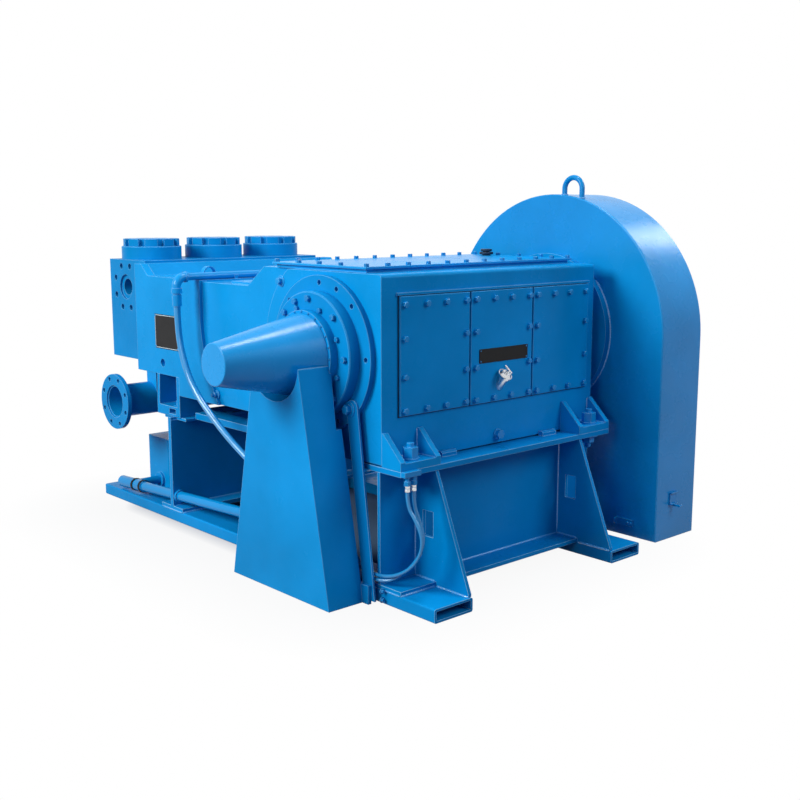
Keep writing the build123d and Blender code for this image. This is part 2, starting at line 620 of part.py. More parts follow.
def stand_strap():
    """Flat bar that stays the stand: bolted to the bearing ring above and to the stand's lug below."""
    back = -CASE_HALF - RING_THICK
    (y0, z0), (y1, z1) = STRAP_FOOT, STRAP_HEAD
    length = math.hypot(y1 - y0, z1 - z0)
    side_y = (z1 - z0) / length * STRAP_WIDTH / 2
    side_z = (y1 - y0) / length * STRAP_WIDTH / 2
    outline = [(y0 - side_y, z0), (y0 + side_y, z0), (y1 + side_y, z1 - side_z), (y1 - side_y, z1 + side_z)]
    bar = plate_x(outline, back - STRAP_THICK, back)
    return bar + disc_x(STRAP_WIDTH / 2, y1, z1, back - STRAP_THICK, back)


def belt_guard():
    """D-shaped belt guard: semicircle over straight sides."""
    y0, y1 = CRANK_Y - GUARD_RADIUS, CRANK_Y + GUARD_RADIUS
    with BuildLine(Plane(origin=(GUARD_INNER, 0, 0), x_dir=(0, 1, 0), z_dir=(1, 0, 0))) as line:
        ThreePointArc((y0, GUARD_CENTRE_Z), (CRANK_Y, GUARD_CENTRE_Z + GUARD_RADIUS), (y1, GUARD_CENTRE_Z))
        Polyline((y1, GUARD_CENTRE_Z), (y1, GUARD_BOTTOM), (y0, GUARD_BOTTOM), (y0, GUARD_CENTRE_Z))
    guard = extrude(make_face(line.line), GUARD_OUTER - GUARD_INNER, dir=(1, 0, 0))
    guard = fillet(guard.faces().sort_by(Axis.X)[0].edges(), GUARD_EDGE_ROUND)
    return fillet(guard.faces().sort_by(Axis.X)[-1].edges(), GUARD_EDGE_ROUND)


def hub_ring():
    """Ring that carries the belt guard on the bearing cap."""
    cap_face = CASE_HALF + RING_THICK + CAP_THICK
    return disc_x(HUB_RING_RADIUS, CRANK_Y, CRANK_Z, cap_face, GUARD_INNER)


def lifting_eye(guard):
    """Bent round bar welded to the guard's rim."""
    arch = EYE_TOP - EYE_ROD - EYE_HALF
    inside = GUARD_CENTRE_Z + GUARD_RADIUS - 40
    left, right = EYE_Y - EYE_HALF, EYE_Y + EYE_HALF
    path = (Line((EYE_X, left, inside), (EYE_X, left, arch))
            + ThreePointArc((EYE_X, left, arch), (EYE_X, EYE_Y, arch + EYE_HALF), (EYE_X, right, arch))
            + Line((EYE_X, right, arch), (EYE_X, right, inside)))
    profile = Plane(origin=(EYE_X, left, inside), z_dir=(0, 0, 1)) * Circle(EYE_ROD)
    return sweep(profile, path=path) - guard


def guard_handle():
    """Strip on the guard's inner face with one end bent out as a finger grip."""
    y0, y1 = HANDLE_Y
    z0, z1 = HANDLE_Z - HANDLE_WIDTH / 2, HANDLE_Z + HANDLE_WIDTH / 2
    strip = block(GUARD_INNER - HANDLE_THICK, GUARD_INNER, y0, y1, z0, z1)
    grip = block(GUARD_INNER - HANDLE_RISE, GUARD_INNER, y1 - HANDLE_THICK, y1, z0, z1)
    return strip + fillet(grip.edges().filter_by(Axis.Y).group_by(Axis.X)[0], HANDLE_WIDTH / 3)


def guard_hook():
    """Small lipped plate with a bent rod, on the guard's rear face."""
    face = CRANK_Y - GUARD_RADIUS
    x0, x1 = HOOK_X
    z0, z1 = HOOK_Z
    hook = block(x0, x1, face - HOOK_PLATE, face, z0, z1)
    hook += block(x0, x1, face - HOOK_LIP, face, z1 - HOOK_PLATE, z1)
    hook += block(x0, x1, face - HOOK_LIP, face, z0, z0 + HOOK_PLATE)
    rod_x, rod_z, turn = (x0 + x1) / 2, z0 - HOOK_ROD + 2, 16
    end = face - HOOK_REACH + HOOK_ROD
    hook += disc_y(HOOK_ROD, rod_x, rod_z, end, face - HOOK_PLATE)
    hook += Pos(rod_x, end, rod_z) * Sphere(HOOK_ROD)
    return hook + disc_x(HOOK_ROD, end, rod_z, rod_x, rod_x + turn)


def fluid_end_block():
    """Forged fluid-end block with a flanged discharge port on each end."""
    body = block(-BLOCK_HALF, BLOCK_HALF, BLOCK_REAR, BLOCK_FRONT, BLOCK_BOTTOM, BLOCK_TOP)
    body = chamfer(body.edges().filter_by(Axis.Z), 3)
    for side in (-1, 1):
        face, past = side * BLOCK_HALF, side * (BLOCK_HALF + PAST)
        z = PORT_Z + (SETUP_SHIFT if side > 0 else 0)
        body -= disc_x(PORT_RECESS_RADIUS, PORT_Y, z, face - side * PORT_RECESS, past)
        body -= disc_x(PORT_BORE / 2, PORT_Y, z, face - side * PORT_DEPTH, face)
        body -= ring_holes(PORT_HOLE / 2, PORT_PCD, 8, PORT_Y, z, face - side * PORT_HOLE_DEPTH, past)
    return body


def valve_pot(x):
    """Valve pot ring standing on the block."""
    ring = disc_z(POT_RADIUS, x, POT_Y, BLOCK_TOP, POT_RING_TOP)
    return chamfer(ring.edges().sort_by(Axis.Z)[-1], 3)


def valve_cap(x):
    """Threaded cap with castellated rim."""
    cap = disc_z(POT_CAP_RADIUS, x, POT_Y, POT_RING_TOP, POT_CAP_TOP)
    for i in range(POT_LUGS):
        notch = Pos(POT_CAP_RADIUS, 0, 0) * Box(44, 34, POT_CAP_TOP - POT_RING_TOP + 2 * PAST)
        place = Pos(x, POT_Y, (POT_RING_TOP + POT_CAP_TOP) / 2) * Rot(0, 0, 20 + 360 / POT_LUGS * i)
        cap -= place * notch
    return cap


def head_cover(x):
    """Cylinder head cover on the front of the block."""
    cover = disc_y(HEAD_RADIUS, x, CRANK_Z, BLOCK_FRONT, BLOCK_FRONT + HEAD_PROUD)
    for i in range(HEAD_LUGS):
        notch = Pos(HEAD_RADIUS, 0, 0) * Box(36, 30, HEAD_PROUD + 2 * PAST)
        place = Pos(x, BLOCK_FRONT + HEAD_PROUD / 2, CRANK_Z) * Rot(90, 0, 0) * Rot(0, 0, 360 / HEAD_LUGS * i)
        cover -= place * notch
    return cover


def cylinder_liner(x):
    """Liner held on the cross plate by its clamp ring, open toward the crossheads."""
    plate_rear = CRADLE_END - HORN_FLAT
    liner = disc_y(LINER_RADIUS, x, CRANK_Z, LINER_REAR, plate_rear)
    clamp = disc_y(LINER_CLAMP_RADIUS, x, CRANK_Z, plate_rear - LINER_CLAMP_THICK, plate_rear)
    clamp = chamfer(clamp.edges().sort_by(Axis.Y)[0], 6)
    return liner + clamp - disc_y(LINER_BORE, x, CRANK_Z, LINER_REAR - PAST, plate_rear - PAST)


def piston_rod(x):
    """Rod with its gland at the crosshead housing, its clamp and the piston in the liner."""
    rod = disc_y(ROD_RADIUS, x, CRANK_Z, XHEAD_END, PISTON_Y[1])
    rod += disc_y(GLAND_RADIUS, x, CRANK_Z, XHEAD_END, XHEAD_END + GLAND_THICK)
    rod += disc_y(ROD_CLAMP_RADIUS, x, CRANK_Z, *ROD_CLAMP_Y)
    return rod + disc_y(PISTON_RADIUS, x, CRANK_Z, *PISTON_Y)


def suction_flange():
    """Flat flange with eight bolt holes, slipped on the suction pipe."""
    face, back = SUCTION_FACE, SUCTION_FACE + SUCTION_FLANGE_THICK
    flange = disc_x(SUCTION_FLANGE_OD / 2, SUCTION_Y, SUCTION_Z, face, back)
    flange -= disc_x(SUCTION_PIPE_OD / 2, SUCTION_Y, SUCTION_Z, face - PAST, back + PAST)
    return flange - ring_holes(SUCTION_HOLE / 2, SUCTION_PCD, 8, SUCTION_Y, SUCTION_Z, face - PAST, back + PAST)


def suction_pipe():
    """Manifold pipe along the pump, open at the flange and closed at the far end."""
    set_back, end_thick = 8, 20
    pipe = disc_x(SUCTION_PIPE_OD / 2, SUCTION_Y, SUCTION_Z, SUCTION_FACE + set_back, SUCTION_END)
    return pipe - disc_x(SUCTION_BORE / 2, SUCTION_Y, SUCTION_Z, SUCTION_FACE, SUCTION_END - end_thick)


def suction_riser(x):
    """Riser from the manifold pipe up to the block."""
    riser = block(x - RISER_HALF, x + RISER_HALF, RISER_REAR, RISER_FRONT, SUCTION_Z, BLOCK_BOTTOM)
    return riser - disc_x(SUCTION_PIPE_OD / 2, SUCTION_Y, SUCTION_Z, x - RISER_HALF - PAST, x + RISER_HALF + PAST)


def drain_box():
    """Closed sheet-metal drain box with a boss flange for the drain branch."""
    y0, y1 = DRAIN_BOX_Y
    box = block(-DRAIN_BOX_HALF, DRAIN_BOX_HALF, y0, y1, RAIL_HEIGHT, DRAIN_BOX_TOP)
    box = fillet(box.edges().filter_by(Axis.Z), 12)
    radius, thick = DRAIN_BOSS
    return box + disc_x(radius, DRAIN_BRANCH_Y, branch_z(), -DRAIN_BOX_HALF - thick, -DRAIN_BOX_HALF)


def branch_z():
    """Height of the drain pipe's axis where its branch leaves it."""
    return DRAIN_PIPE_END_Z + (DRAIN_PIPE_END - DRAIN_BRANCH_Y) * math.tan(math.radians(DRAIN_PIPE_RISE))


def drain_pipe():
    """Sloping drain pipe with its branch to the box, wall collar, hose branch and end cap."""
    pipe = along_drain_pipe(DRAIN_PIPE_RADIUS, 0, DRAIN_PIPE_LENGTH)
    pipe += along_drain_pipe(DRAIN_SLEEVE_RADIUS, 0, DRAIN_SLEEVE_LENGTH)
    cap_thick, barb = 18, 15
    pipe += along_drain_pipe(DRAIN_SLEEVE_RADIUS, DRAIN_PIPE_LENGTH - cap_thick, DRAIN_PIPE_LENGTH)
    pipe += disc_x(DRAIN_BRANCH_RADIUS, DRAIN_BRANCH_Y, branch_z(), DRAIN_PIPE_X, -DRAIN_BOX_HALF - DRAIN_BOSS[1])
    web_face = FLUID_WEB_Y - FLUID_WEB / 2
    collar_z = DRAIN_PIPE_END_Z + (DRAIN_PIPE_END - web_face) * math.tan(math.radians(DRAIN_PIPE_RISE))
    pipe += disc_y(DRAIN_COLLAR_RADIUS, DRAIN_PIPE_X, collar_z, web_face - barb, web_face)
    for hose in (SMALL_HOSE_A, SMALL_HOSE_B):
        x, y, z = hose[-1]
        pipe += disc_y(SMALL_HOSE_RADIUS, x, z, y, y + 2 * barb)
    x, y, z = LUBE_HOSE[-1]
    slant = Plane(origin=(x, y, z), x_dir=(1, 0, 0), z_dir=(0, -1, -1))
    depth = 90
    return pipe + slant * Pos(0, 0, depth / 2) * Cylinder(LUBE_HOSE_RADIUS + 3, depth)


def pipe_clamps():
    """Two band clamps on the drain pipe."""
    rise = math.cos(math.radians(DRAIN_PIPE_RISE))
    bands = []
    for y in CLAMP_Y:
        start = (DRAIN_PIPE_END - y) / rise
        band = along_drain_pipe(DRAIN_SLEEVE_RADIUS + 3, start - CLAMP_HALF, start + CLAMP_HALF)
        bands.append(band - along_drain_pipe(DRAIN_SLEEVE_RADIUS, 0, DRAIN_PIPE_LENGTH))
    return Compound(children=bands)


def lube_pipe():
    """Pipe across the crosshead housing, turned down at the side, with its collars and saddles."""
    corner = LUBE_LEG_X + LUBE_BEND
    path = FilletPolyline((0, LUBE_Y, LUBE_Z), (LUBE_LEG_X, LUBE_Y, LUBE_Z), (LUBE_LEG_X, LUBE_Y, LUBE_LEG_END),
                          radius=LUBE_BEND)
    profile = Plane(origin=(0, LUBE_Y, LUBE_Z), z_dir=(-1, 0, 0)) * Circle(LUBE_PIPE_RADIUS)
    pipe = sweep(profile, path=path)
    bend = FilletPolyline((corner + LUBE_ELBOW_LEG, LUBE_Y, LUBE_Z), (LUBE_LEG_X, LUBE_Y, LUBE_Z),
                          (LUBE_LEG_X, LUBE_Y, LUBE_COLLARS[0][0]), radius=LUBE_BEND)
    section = Plane(origin=(corner + LUBE_ELBOW_LEG, LUBE_Y, LUBE_Z), z_dir=(-1, 0, 0)) * Circle(LUBE_ELBOW_RADIUS)
    pipe += sweep(section, path=bend)
    pipe += disc_x(LUBE_COLLAR_RADIUS, LUBE_Y, LUBE_Z, corner, corner + LUBE_ELBOW_LEG)
    for z0, z1, radius in LUBE_COLLARS:
        pipe += disc_z(radius, LUBE_LEG_X, LUBE_Y, z0, z1)
    for x in SADDLE_X:
        pipe += block(x - SADDLE_HALF, x + SADDLE_HALF, XHEAD_END, LUBE_Y, CRADLE_TOP, LUBE_Z)
    return pipe


def hose(points, radius, name):
    """Hose of straight runs joined by tangent arcs."""
    corners = [Vector(*point) for point in points]
    bends = []
    for before, at, after in zip(corners, corners[1:], corners[2:]):
        turn = (at - before).get_angle(after - at)
        shorter = min((at - before).length, (after - at).length)
        bends.append(0.45 * shorter / math.tan(math.radians(turn) / 2))
    print(name, "bend radii", [round(bend) for bend in bends], "hose diameter", 2 * radius)
    path = FilletPolyline(*corners, radius=bends)
    profile = Plane(origin=corners[0], z_dir=corners[1] - corners[0]) * Circle(radius)
    tube = sweep(profile, path=path)
    print(name, "length", round(path.length), "volume over section times length",
          round(tube.volume / (math.pi * radius**2 * path.length), 4))
    return tube


def hose_block():
    """Block under the shelf's edge with the fittings of the two small hoses."""
    x0, x1, y0, z0, z1 = HOSE_BLOCK
    piece = block(x0, x1, y0, POWER_WEB_REAR - POWER_FLANGE_REACH, z0, z1)
    for points in (SMALL_HOSE_A, SMALL_HOSE_B):
        x, y, z = points[0]
        piece += disc_z(SMALL_HOSE_RADIUS, x, y, HOSE_NIPPLE_END, z0)
        piece += hex_z(HOSE_NUT_ACROSS, x, y, HOSE_NUT_END, HOSE_NIPPLE_END)
        piece += disc_z(HOSE_FERRULE_RADIUS, x, y, z, HOSE_NUT_END)
    return piece


def main():
    nodes = {
        "skid_rails": both_sides(rail()),
        "tie_bars": both_sides(tie_bar()),
        "power_gussets": both_sides(power_gusset()),
        "fluid_pedestal": fluid_pedestal(),
        "crankcase": crankcase(),
        "crankcase_feet": both_sides(crankcase_foot()),
        "hold_down_nuts": both_sides(hold_down()),
        "rear_covers": rear_covers(),
        "top_covers": top_covers(),
        "label_plate": label_plate(),
        "oil_filler": oil_filler(),
        "drain_plug": drain_plug(),
        "breather": breather(),
        "cradle_sides": both_sides(cradle_side()),
        "cradle_front": cradle_front(),
        "cradle_deck": cradle_deck(),
        "cradle_feet": both_sides(cradle_foot()),
        "nameplate": nameplate(),
        "bearing_rings": both_sides(bearing_ring()),
        "bearing_caps": both_sides(bearing_cap()),
        "cone_stand": cone_stand(),
        "stand_strap": stand_strap(),
        "belt_guard": belt_guard(),
        "guard_hub_ring": hub_ring(),
        "guard_handle": guard_handle(),
        "guard_hook": guard_hook(),
        "fluid_end_block": fluid_end_block(),
        "valve_pots": three_of(valve_pot),
        "valve_caps": three_of(valve_cap),
        "cylinder_head_covers": three_of(head_cover),
        "cylinder_liners": three_of(cylinder_liner),
        "piston_rods": three_of(piston_rod),
        "suction_flange": suction_flange(),
        "suction_pipe": suction_pipe(),
        "suction_risers": three_of(suction_riser),
        "drain_box": drain_box(),
        "drain_pipe": drain_pipe(),
        "pipe_clamps": pipe_clamps(),
        "lube_pipe": lube_pipe(),
        "lube_hose": hose(LUBE_HOSE, LUBE_HOSE_RADIUS, "lube hose"),
        "small_hose_a": hose(SMALL_HOSE_A, SMALL_HOSE_RADIUS, "small hose a"),
        "small_hose_b": hose(SMALL_HOSE_B, SMALL_HOSE_RADIUS, "small hose b"),
        "hose_block": hose_block(),
    }
    nodes["power_pedestal_base"], nodes["power_pedestal_web"], nodes["power_pedestal_shelf"] = power_pedestal()
    nodes["cone_collar"], nodes["cone_guard"] = cone_guard()
    nodes["lifting_eye"] = lifting_eye(nodes["belt_guard"])
    os.makedirs("parts", exist_ok=True)
    for name, solid in nodes.items():
        export_step(Pos(SHIFT_X, SHIFT_Y, 0) * solid, f"parts/{name}.step")
    print("nodes", len(nodes), "shift", SHIFT_X, SHIFT_Y)


main()
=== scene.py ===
# Dresses the triplex mud pump: paint, screws, gaskets, weld beads, hoses, floor, lamps and camera.
# Places and distances on the pump are millimetres in the layout frame of the part's source: x = 0 is the
# middle plane, y = 0 the crankcase's rear face, z = 0 the ground. Radii, widths and heights of bolts, rivets,
# fittings, beads and hoses are metres, and so is all that stands round the pump.
import math
import random

import bmesh
import bpy
from mathutils import Matrix, Vector


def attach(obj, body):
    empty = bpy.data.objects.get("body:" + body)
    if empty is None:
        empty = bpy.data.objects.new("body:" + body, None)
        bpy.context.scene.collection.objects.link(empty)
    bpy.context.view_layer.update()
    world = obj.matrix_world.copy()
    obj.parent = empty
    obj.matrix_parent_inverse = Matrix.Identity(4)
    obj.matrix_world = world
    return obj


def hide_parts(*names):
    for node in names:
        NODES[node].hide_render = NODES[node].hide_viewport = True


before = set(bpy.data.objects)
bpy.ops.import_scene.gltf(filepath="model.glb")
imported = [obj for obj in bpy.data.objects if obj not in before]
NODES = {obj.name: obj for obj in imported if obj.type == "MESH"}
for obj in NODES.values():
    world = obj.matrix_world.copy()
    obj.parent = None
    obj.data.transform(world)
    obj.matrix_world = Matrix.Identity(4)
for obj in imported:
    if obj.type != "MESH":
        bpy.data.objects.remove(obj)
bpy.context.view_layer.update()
# The source's shift from its layout frame to the middle of the pump's footprint.
SHIFT = Vector((56.0, -996.0, 0.0))

LEFTWARD = (-1, 0, 0)
REARWARD = (0, -1, 0)
UPWARD = (0, 0, 1)
DOWNWARD = (0, 0, -1)


def at(x, y, z):
    """A point of the layout frame in millimetres, in the row frame in metres."""
    return (Vector((x, y, z)) + SHIFT) / 1000


# ---------------------------------------------------------------- camera
# Solved from the straight edges of the pump in the photo.
CAMERA_PLACE = (-3.2854, -4.1019, 1.524)
CAMERA_LENS = 49.44
CAMERA_SENSOR = 36.0
CAMERA_DOWN = 9.808
CAMERA_YAW = -42.047


def make_camera():
    """Camera where the photo was taken from."""
    data = bpy.data.cameras.new("camera")
    data.lens = CAMERA_LENS
    data.sensor_width = CAMERA_SENSOR
    camera = bpy.data.objects.new("camera", data)
    bpy.context.scene.collection.objects.link(camera)
    camera.location = CAMERA_PLACE
    camera.rotation_euler = (math.radians(90 - CAMERA_DOWN), 0, math.radians(CAMERA_YAW))
    bpy.context.scene.camera = camera


# ---------------------------------------------------------------- node trees
class Nodes:
    """An emptied node tree, with short ways to add nodes to it."""

    def __init__(self, tree):
        tree.nodes.clear()
        self.tree = tree

    def add(self, kind, **settings):
        """A new node with its settings."""
        node = self.tree.nodes.new(kind)
        for name, value in settings.items():
            setattr(node, name, value)
        return node

    def put(self, socket, value):
        """Links another node's output to the socket, or sets the socket's own value."""
        if isinstance(value, bpy.types.NodeSocket):
            self.tree.links.new(value, socket)
        else:
            socket.default_value = value

    def noise(self, coord, scale, detail, rough=0.55):
        """Noise in the object's own coordinates, from 0 to 1."""
        node = self.add("ShaderNodeTexNoise")
        node.inputs["Scale"].default_value = scale
        node.inputs["Detail"].default_value = detail
        node.inputs["Roughness"].default_value = rough
        self.put(node.inputs["Vector"], coord)
        return node.outputs["Fac"]

    def ramp(self, value, low, high, out_low=0.0, out_high=1.0):
        """Stretches low..high to out_low..out_high, and holds both ends."""
        node = self.add("ShaderNodeMapRange")
        self.put(node.inputs["Value"], value)
        node.inputs["From Min"].default_value = low
        node.inputs["From Max"].default_value = high
        node.inputs["To Min"].default_value = out_low
        node.inputs["To Max"].default_value = out_high
        return node.outputs["Result"]

    def maths(self, operation, a, b=0.0):
        """One sum on two numbers."""
        node = self.add("ShaderNodeMath", operation=operation)
        self.put(node.inputs[0], a)
        self.put(node.inputs[1], b)
        return node.outputs[0]

    def mix_colours(self, share, first, second):
        """Share 0 gives the first colour. Sockets 6, 7 and 2 are the Mix node's colour ones."""
        node = self.add("ShaderNodeMix", data_type="RGBA")
        self.put(node.inputs[0], share)
        self.put(node.inputs[6], first)
        self.put(node.inputs[7], second)
        return node.outputs[2]

    def mix_shaders(self, share, first, second):
        """Share 0 gives the first shader."""
        node = self.add("ShaderNodeMixShader")
        for socket, value in zip(node.inputs, (share, first, second)):
            self.put(socket, value)
        return node.outputs[0]

    def relief(self, height, strength, distance, under=None):
        """Normal with bumps of a height, over another normal where there is one."""
        node = self.add("ShaderNodeBump")
        node.inputs["Strength"].default_value = strength
        node.inputs["Distance"].default_value = distance
        self.put(node.inputs["Height"], height)
        if under is not None:
            self.put(node.inputs["Normal"], under)
        return node.outputs["Normal"]

    def show(self, surface, kind="ShaderNodeOutputMaterial"):
        """Makes a shader the tree's result."""
        self.put(self.add(kind).inputs["Surface"], surface)


def new_material(name):
    """A material with an empty node tree."""
    mat = bpy.data.materials.new(name)
    mat.use_nodes = True
    return mat, Nodes(mat.node_tree)


# ---------------------------------------------------------------- finishes
# Pale blue for the edges: partly paint worn thin, mostly a painted highlight like the light a rounded edge
# catches.
EDGE_WEAR_AND_HIGHLIGHT_BLUE = (0.42, 0.74, 0.95, 1)
EDGE_WEAR_AND_HIGHLIGHT_FROM, EDGE_WEAR_AND_HIGHLIGHT_FULL = 0.995, 0.90
BEVEL_SAMPLES = 6
DRIFT_SCALE = 1.6
DRIFT_DARK = 0.86
DRIFT_LIGHT, DRIFT_LIFT = 1.16, 0.004
SPECK_SCALE, SPECK_ROUGH = 160, 0.7
SPECKS_FROM, SPECKS_FULL = 0.69, 0.75
PATCH_SCALE = 5.0
PATCHES_FROM, PATCHES_FULL = 0.55, 0.68
SCUFF_BLUE = 0.85
GLOSS_SCALE = 7.0
PEEL_SCALE, PEEL_DEPTH = 260, 0.002
CAST_SCALE, CAST_DEPTH = 34, 0.006
GRAIN_DEPTH = 0.001
GRAIN_SPREAD = 0.2
GRAIN_SHINE = 0.15


def drifting(nodes, coord, colour):
    """The colour, slowly turning a little darker and lighter over the surface."""
    dark = tuple(c * DRIFT_DARK for c in colour) + (1,)
    light = tuple(min(1.0, c * DRIFT_LIGHT + DRIFT_LIFT) for c in colour) + (1,)
    share = nodes.ramp(nodes.noise(coord, DRIFT_SCALE, 4), 0.3, 0.7)
    return nodes.mix_colours(share, dark, light)


def scuffed(nodes, coord, tone, colour, scuff):
    """Pale specks, gathered in patches."""
    specks = nodes.ramp(nodes.noise(coord, SPECK_SCALE, 2, SPECK_ROUGH), SPECKS_FROM, SPECKS_FULL)
    patches = nodes.ramp(nodes.noise(coord, PATCH_SCALE, 3), PATCHES_FROM, PATCHES_FULL)
    share = nodes.maths("MULTIPLY", nodes.maths("MULTIPLY", specks, patches), scuff)
    pale = (0.25 + colour[0], 0.45 + 0.5 * colour[1], SCUFF_BLUE, 1)
    return nodes.mix_colours(share, tone, pale)


def worn_and_highlit_edges(nodes, tone, rounded, wear_and_highlight_share):
    """Lighter paint along edges, where the rounded normal leaves the true one: a little wear, and mostly a
    painted highlight where light catches the edge.
    """
    dot = nodes.add("ShaderNodeVectorMath", operation="DOT_PRODUCT")
    nodes.put(dot.inputs[0], rounded)
    nodes.put(dot.inputs[1], nodes.add("ShaderNodeNewGeometry").outputs["Normal"])
    share = nodes.ramp(dot.outputs["Value"], EDGE_WEAR_AND_HIGHLIGHT_FROM, EDGE_WEAR_AND_HIGHLIGHT_FULL, 0.0, wear_and_highlight_share)
    return nodes.mix_colours(share, tone, EDGE_WEAR_AND_HIGHLIGHT_BLUE)


def paint(name, colour, rough=0.3, peel=0.06, cast=0.0, scuff=0.0, edge=0.004, wear_and_highlight_share=0.35, shine=0.05):
    """Enamel over steel: tone drift, orange peel, pale scuffs, rounded edges made lighter by wear and by a
    painted highlight, and casting relief.
    """
    mat, nodes = new_material(name)
    coord = nodes.add("ShaderNodeTexCoord").outputs["Object"]
    shader = nodes.add("ShaderNodeBsdfPrincipled")
    tone = scuffed(nodes, coord, drifting(nodes, coord, colour), colour, scuff)
    normal = None
    if edge:
        bevel = nodes.add("ShaderNodeBevel", samples=BEVEL_SAMPLES)
        bevel.inputs["Radius"].default_value = edge
        normal = bevel.outputs["Normal"]
        tone = worn_and_highlit_edges(nodes, tone, normal, wear_and_highlight_share)
    normal = nodes.relief(nodes.noise(coord, PEEL_SCALE, 2), peel, PEEL_DEPTH, normal)
    if cast:
        normal = nodes.relief(nodes.noise(coord, CAST_SCALE, 5), cast, CAST_DEPTH, normal)
    gloss = nodes.ramp(nodes.noise(coord, GLOSS_SCALE, 4), 0.25, 0.75, rough * 0.8, rough * 1.25)
    nodes.put(shader.inputs["Base Color"], tone)
    nodes.put(shader.inputs["Roughness"], gloss)
    nodes.put(shader.inputs["Normal"], normal)
    shader.inputs["Specular IOR Level"].default_value = shine
    nodes.show(shader.outputs["BSDF"])
    return mat


def plain(name, colour, rough, metallic, scale, strength):
    """Rubber, bare metal and black plate, with grain in colour, gloss and relief."""
    mat, nodes = new_material(name)
    coord = nodes.add("ShaderNodeTexCoord").outputs["Object"]
    shader = nodes.add("ShaderNodeBsdfPrincipled")
    grain = nodes.noise(coord, scale, 4)
    low = tuple(c * (1 - GRAIN_SPREAD) for c in colour) + (1,)
    high = tuple(min(1.0, c * (1 + GRAIN_SPREAD)) for c in colour) + (1,)
    gloss = nodes.ramp(nodes.noise(coord, scale / 6, 3), 0.3, 0.7, rough * 0.8, rough * 1.2)
    nodes.put(shader.inputs["Base Color"], nodes.mix_colours(nodes.ramp(grain, 0.3, 0.7), low, high))
    nodes.put(shader.inputs["Roughness"], gloss)
    nodes.put(shader.inputs["Normal"], nodes.relief(grain, strength, GRAIN_DEPTH))
    shader.inputs["Metallic"].default_value = metallic
    shader.inputs["Specular IOR Level"].default_value = GRAIN_SHINE
    nodes.show(shader.outputs["BSDF"])
    return mat


BLUE = (0.0, 0.262, 0.62)
M_SHEET = paint("blue_sheet", BLUE, rough=0.24, peel=0.05, scuff=0.35)
M_SHINY = paint("blue_shiny", BLUE, rough=0.26, peel=0.06, scuff=0.2, shine=0.25)
M_CASE = paint("blue_case", BLUE, rough=0.26, peel=0.08, cast=0.06, scuff=0.15)
M_CAST = paint("blue_cast", (0.0, 0.225, 0.55), rough=0.32, peel=0.08, cast=0.22, scuff=0.1)
M_FRAME = paint("blue_frame", (0.0, 0.24, 0.59), rough=0.30, peel=0.10, cast=0.10, scuff=0.5, wear_and_highlight_share=0.8)
M_SMALL = paint("blue_small", (0.0, 0.25, 0.60), rough=0.20, peel=0.04, edge=0.0015, wear_and_highlight_share=0.6,
                shine=0.2)
# The beads' paint is lighter than the blue round them, a painted highlight along each bead.
M_WELD_PAINTED_HIGHLIGHT = paint("blue_weld_painted_highlight", (0.10, 0.40, 0.78), rough=0.16, peel=0.10, edge=0, shine=0.9)
M_HOSE = paint("blue_hose", (0.01, 0.25, 0.56), rough=0.15, peel=0.06, edge=0, shine=0.6)
M_BOLT = paint("blue_bolt", (0.0, 0.19, 0.48), rough=0.18, peel=0.04, edge=0.001, wear_and_highlight_share=0.6,
               shine=0.25)
M_BORDER = plain("plate_border", (0.50, 0.60, 0.66), 0.35, 0.0, 90, 0.05)
M_PLATE = plain("black_plate", (0.004, 0.004, 0.005), 0.35, 0.0, 90, 0.05)
M_GASKET = plain("black_gasket", (0.004, 0.005, 0.008), 0.6, 0.0, 200, 0.1)
M_STEEL = plain("bright_steel", (0.62, 0.64, 0.66), 0.22, 1.0, 300, 0.05)
M_DARK = plain("dark_metal", (0.012, 0.03, 0.06), 0.35, 0.3, 90, 0.1)

# What isn't named here has the frame's paint: skid, pedestals, gussets, strap and cradle feet.
LOOKS = (
    (M_SHEET, ("rear_covers", "top_covers", "cone_collar", "cone_stand", "guard_hub_ring", "drain_box")),
    (M_SHINY, ("cone_guard", "belt_guard")),
    (M_CASE, ("crankcase", "crankcase_feet", "suction_pipe", "suction_risers", "cradle_sides",
              "cradle_deck")),
    (M_CAST, ("bearing_rings", "bearing_caps", "fluid_end_block", "valve_pots", "valve_caps",
              "cylinder_head_covers", "cylinder_liners", "suction_flange", "cradle_front")),
    (M_SMALL, ("lifting_eye", "guard_handle", "guard_hook", "hold_down_nuts", "drain_plug", "hose_block",
               "lube_pipe", "drain_pipe")),
    (M_STEEL, ("piston_rods", "oil_filler")),
    (M_PLATE, ("label_plate", "nameplate")),
    (M_GASKET, ("pipe_clamps",)),
    (M_DARK, ("breather",)),
)


def dress_nodes():
    """Gives each CAD object its finish."""
    finish = {name: mat for mat, names in LOOKS for name in names}
    for name, obj in NODES.items():
        obj.data.materials.clear()
        obj.data.materials.append(finish.get(name, M_FRAME))


# ---------------------------------------------------------------- mesh helpers
# How deep a piece's foot goes into the surface under it, in metres.
SUNK = 0.001
# Proportions of a bolt, as shares of its width across flats.
WASHER_THICK = 0.13
WASHER_RADIUS = 0.93
WASHER_TOP = 0.86
HEAD_HEIGHT = 0.66
STUD_RADIUS = 0.29
STUD_TIP = 0.23


def piece(name, bm, material, sharp=35):
    """Turns a bmesh into a named piece that rides on the pump."""
    mesh = bpy.data.meshes.new(name)
    bmesh.ops.recalc_face_normals(bm, faces=bm.faces)
    bm.to_mesh(mesh)
    bm.free()
    for face in mesh.polygons:
        face.use_smooth = True
    mesh.set_sharp_from_angle(angle=math.radians(sharp))
    mesh.materials.append(material)
    obj = bpy.data.objects.new(name, mesh)
    bpy.context.scene.collection.objects.link(obj)
    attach(obj, "root")


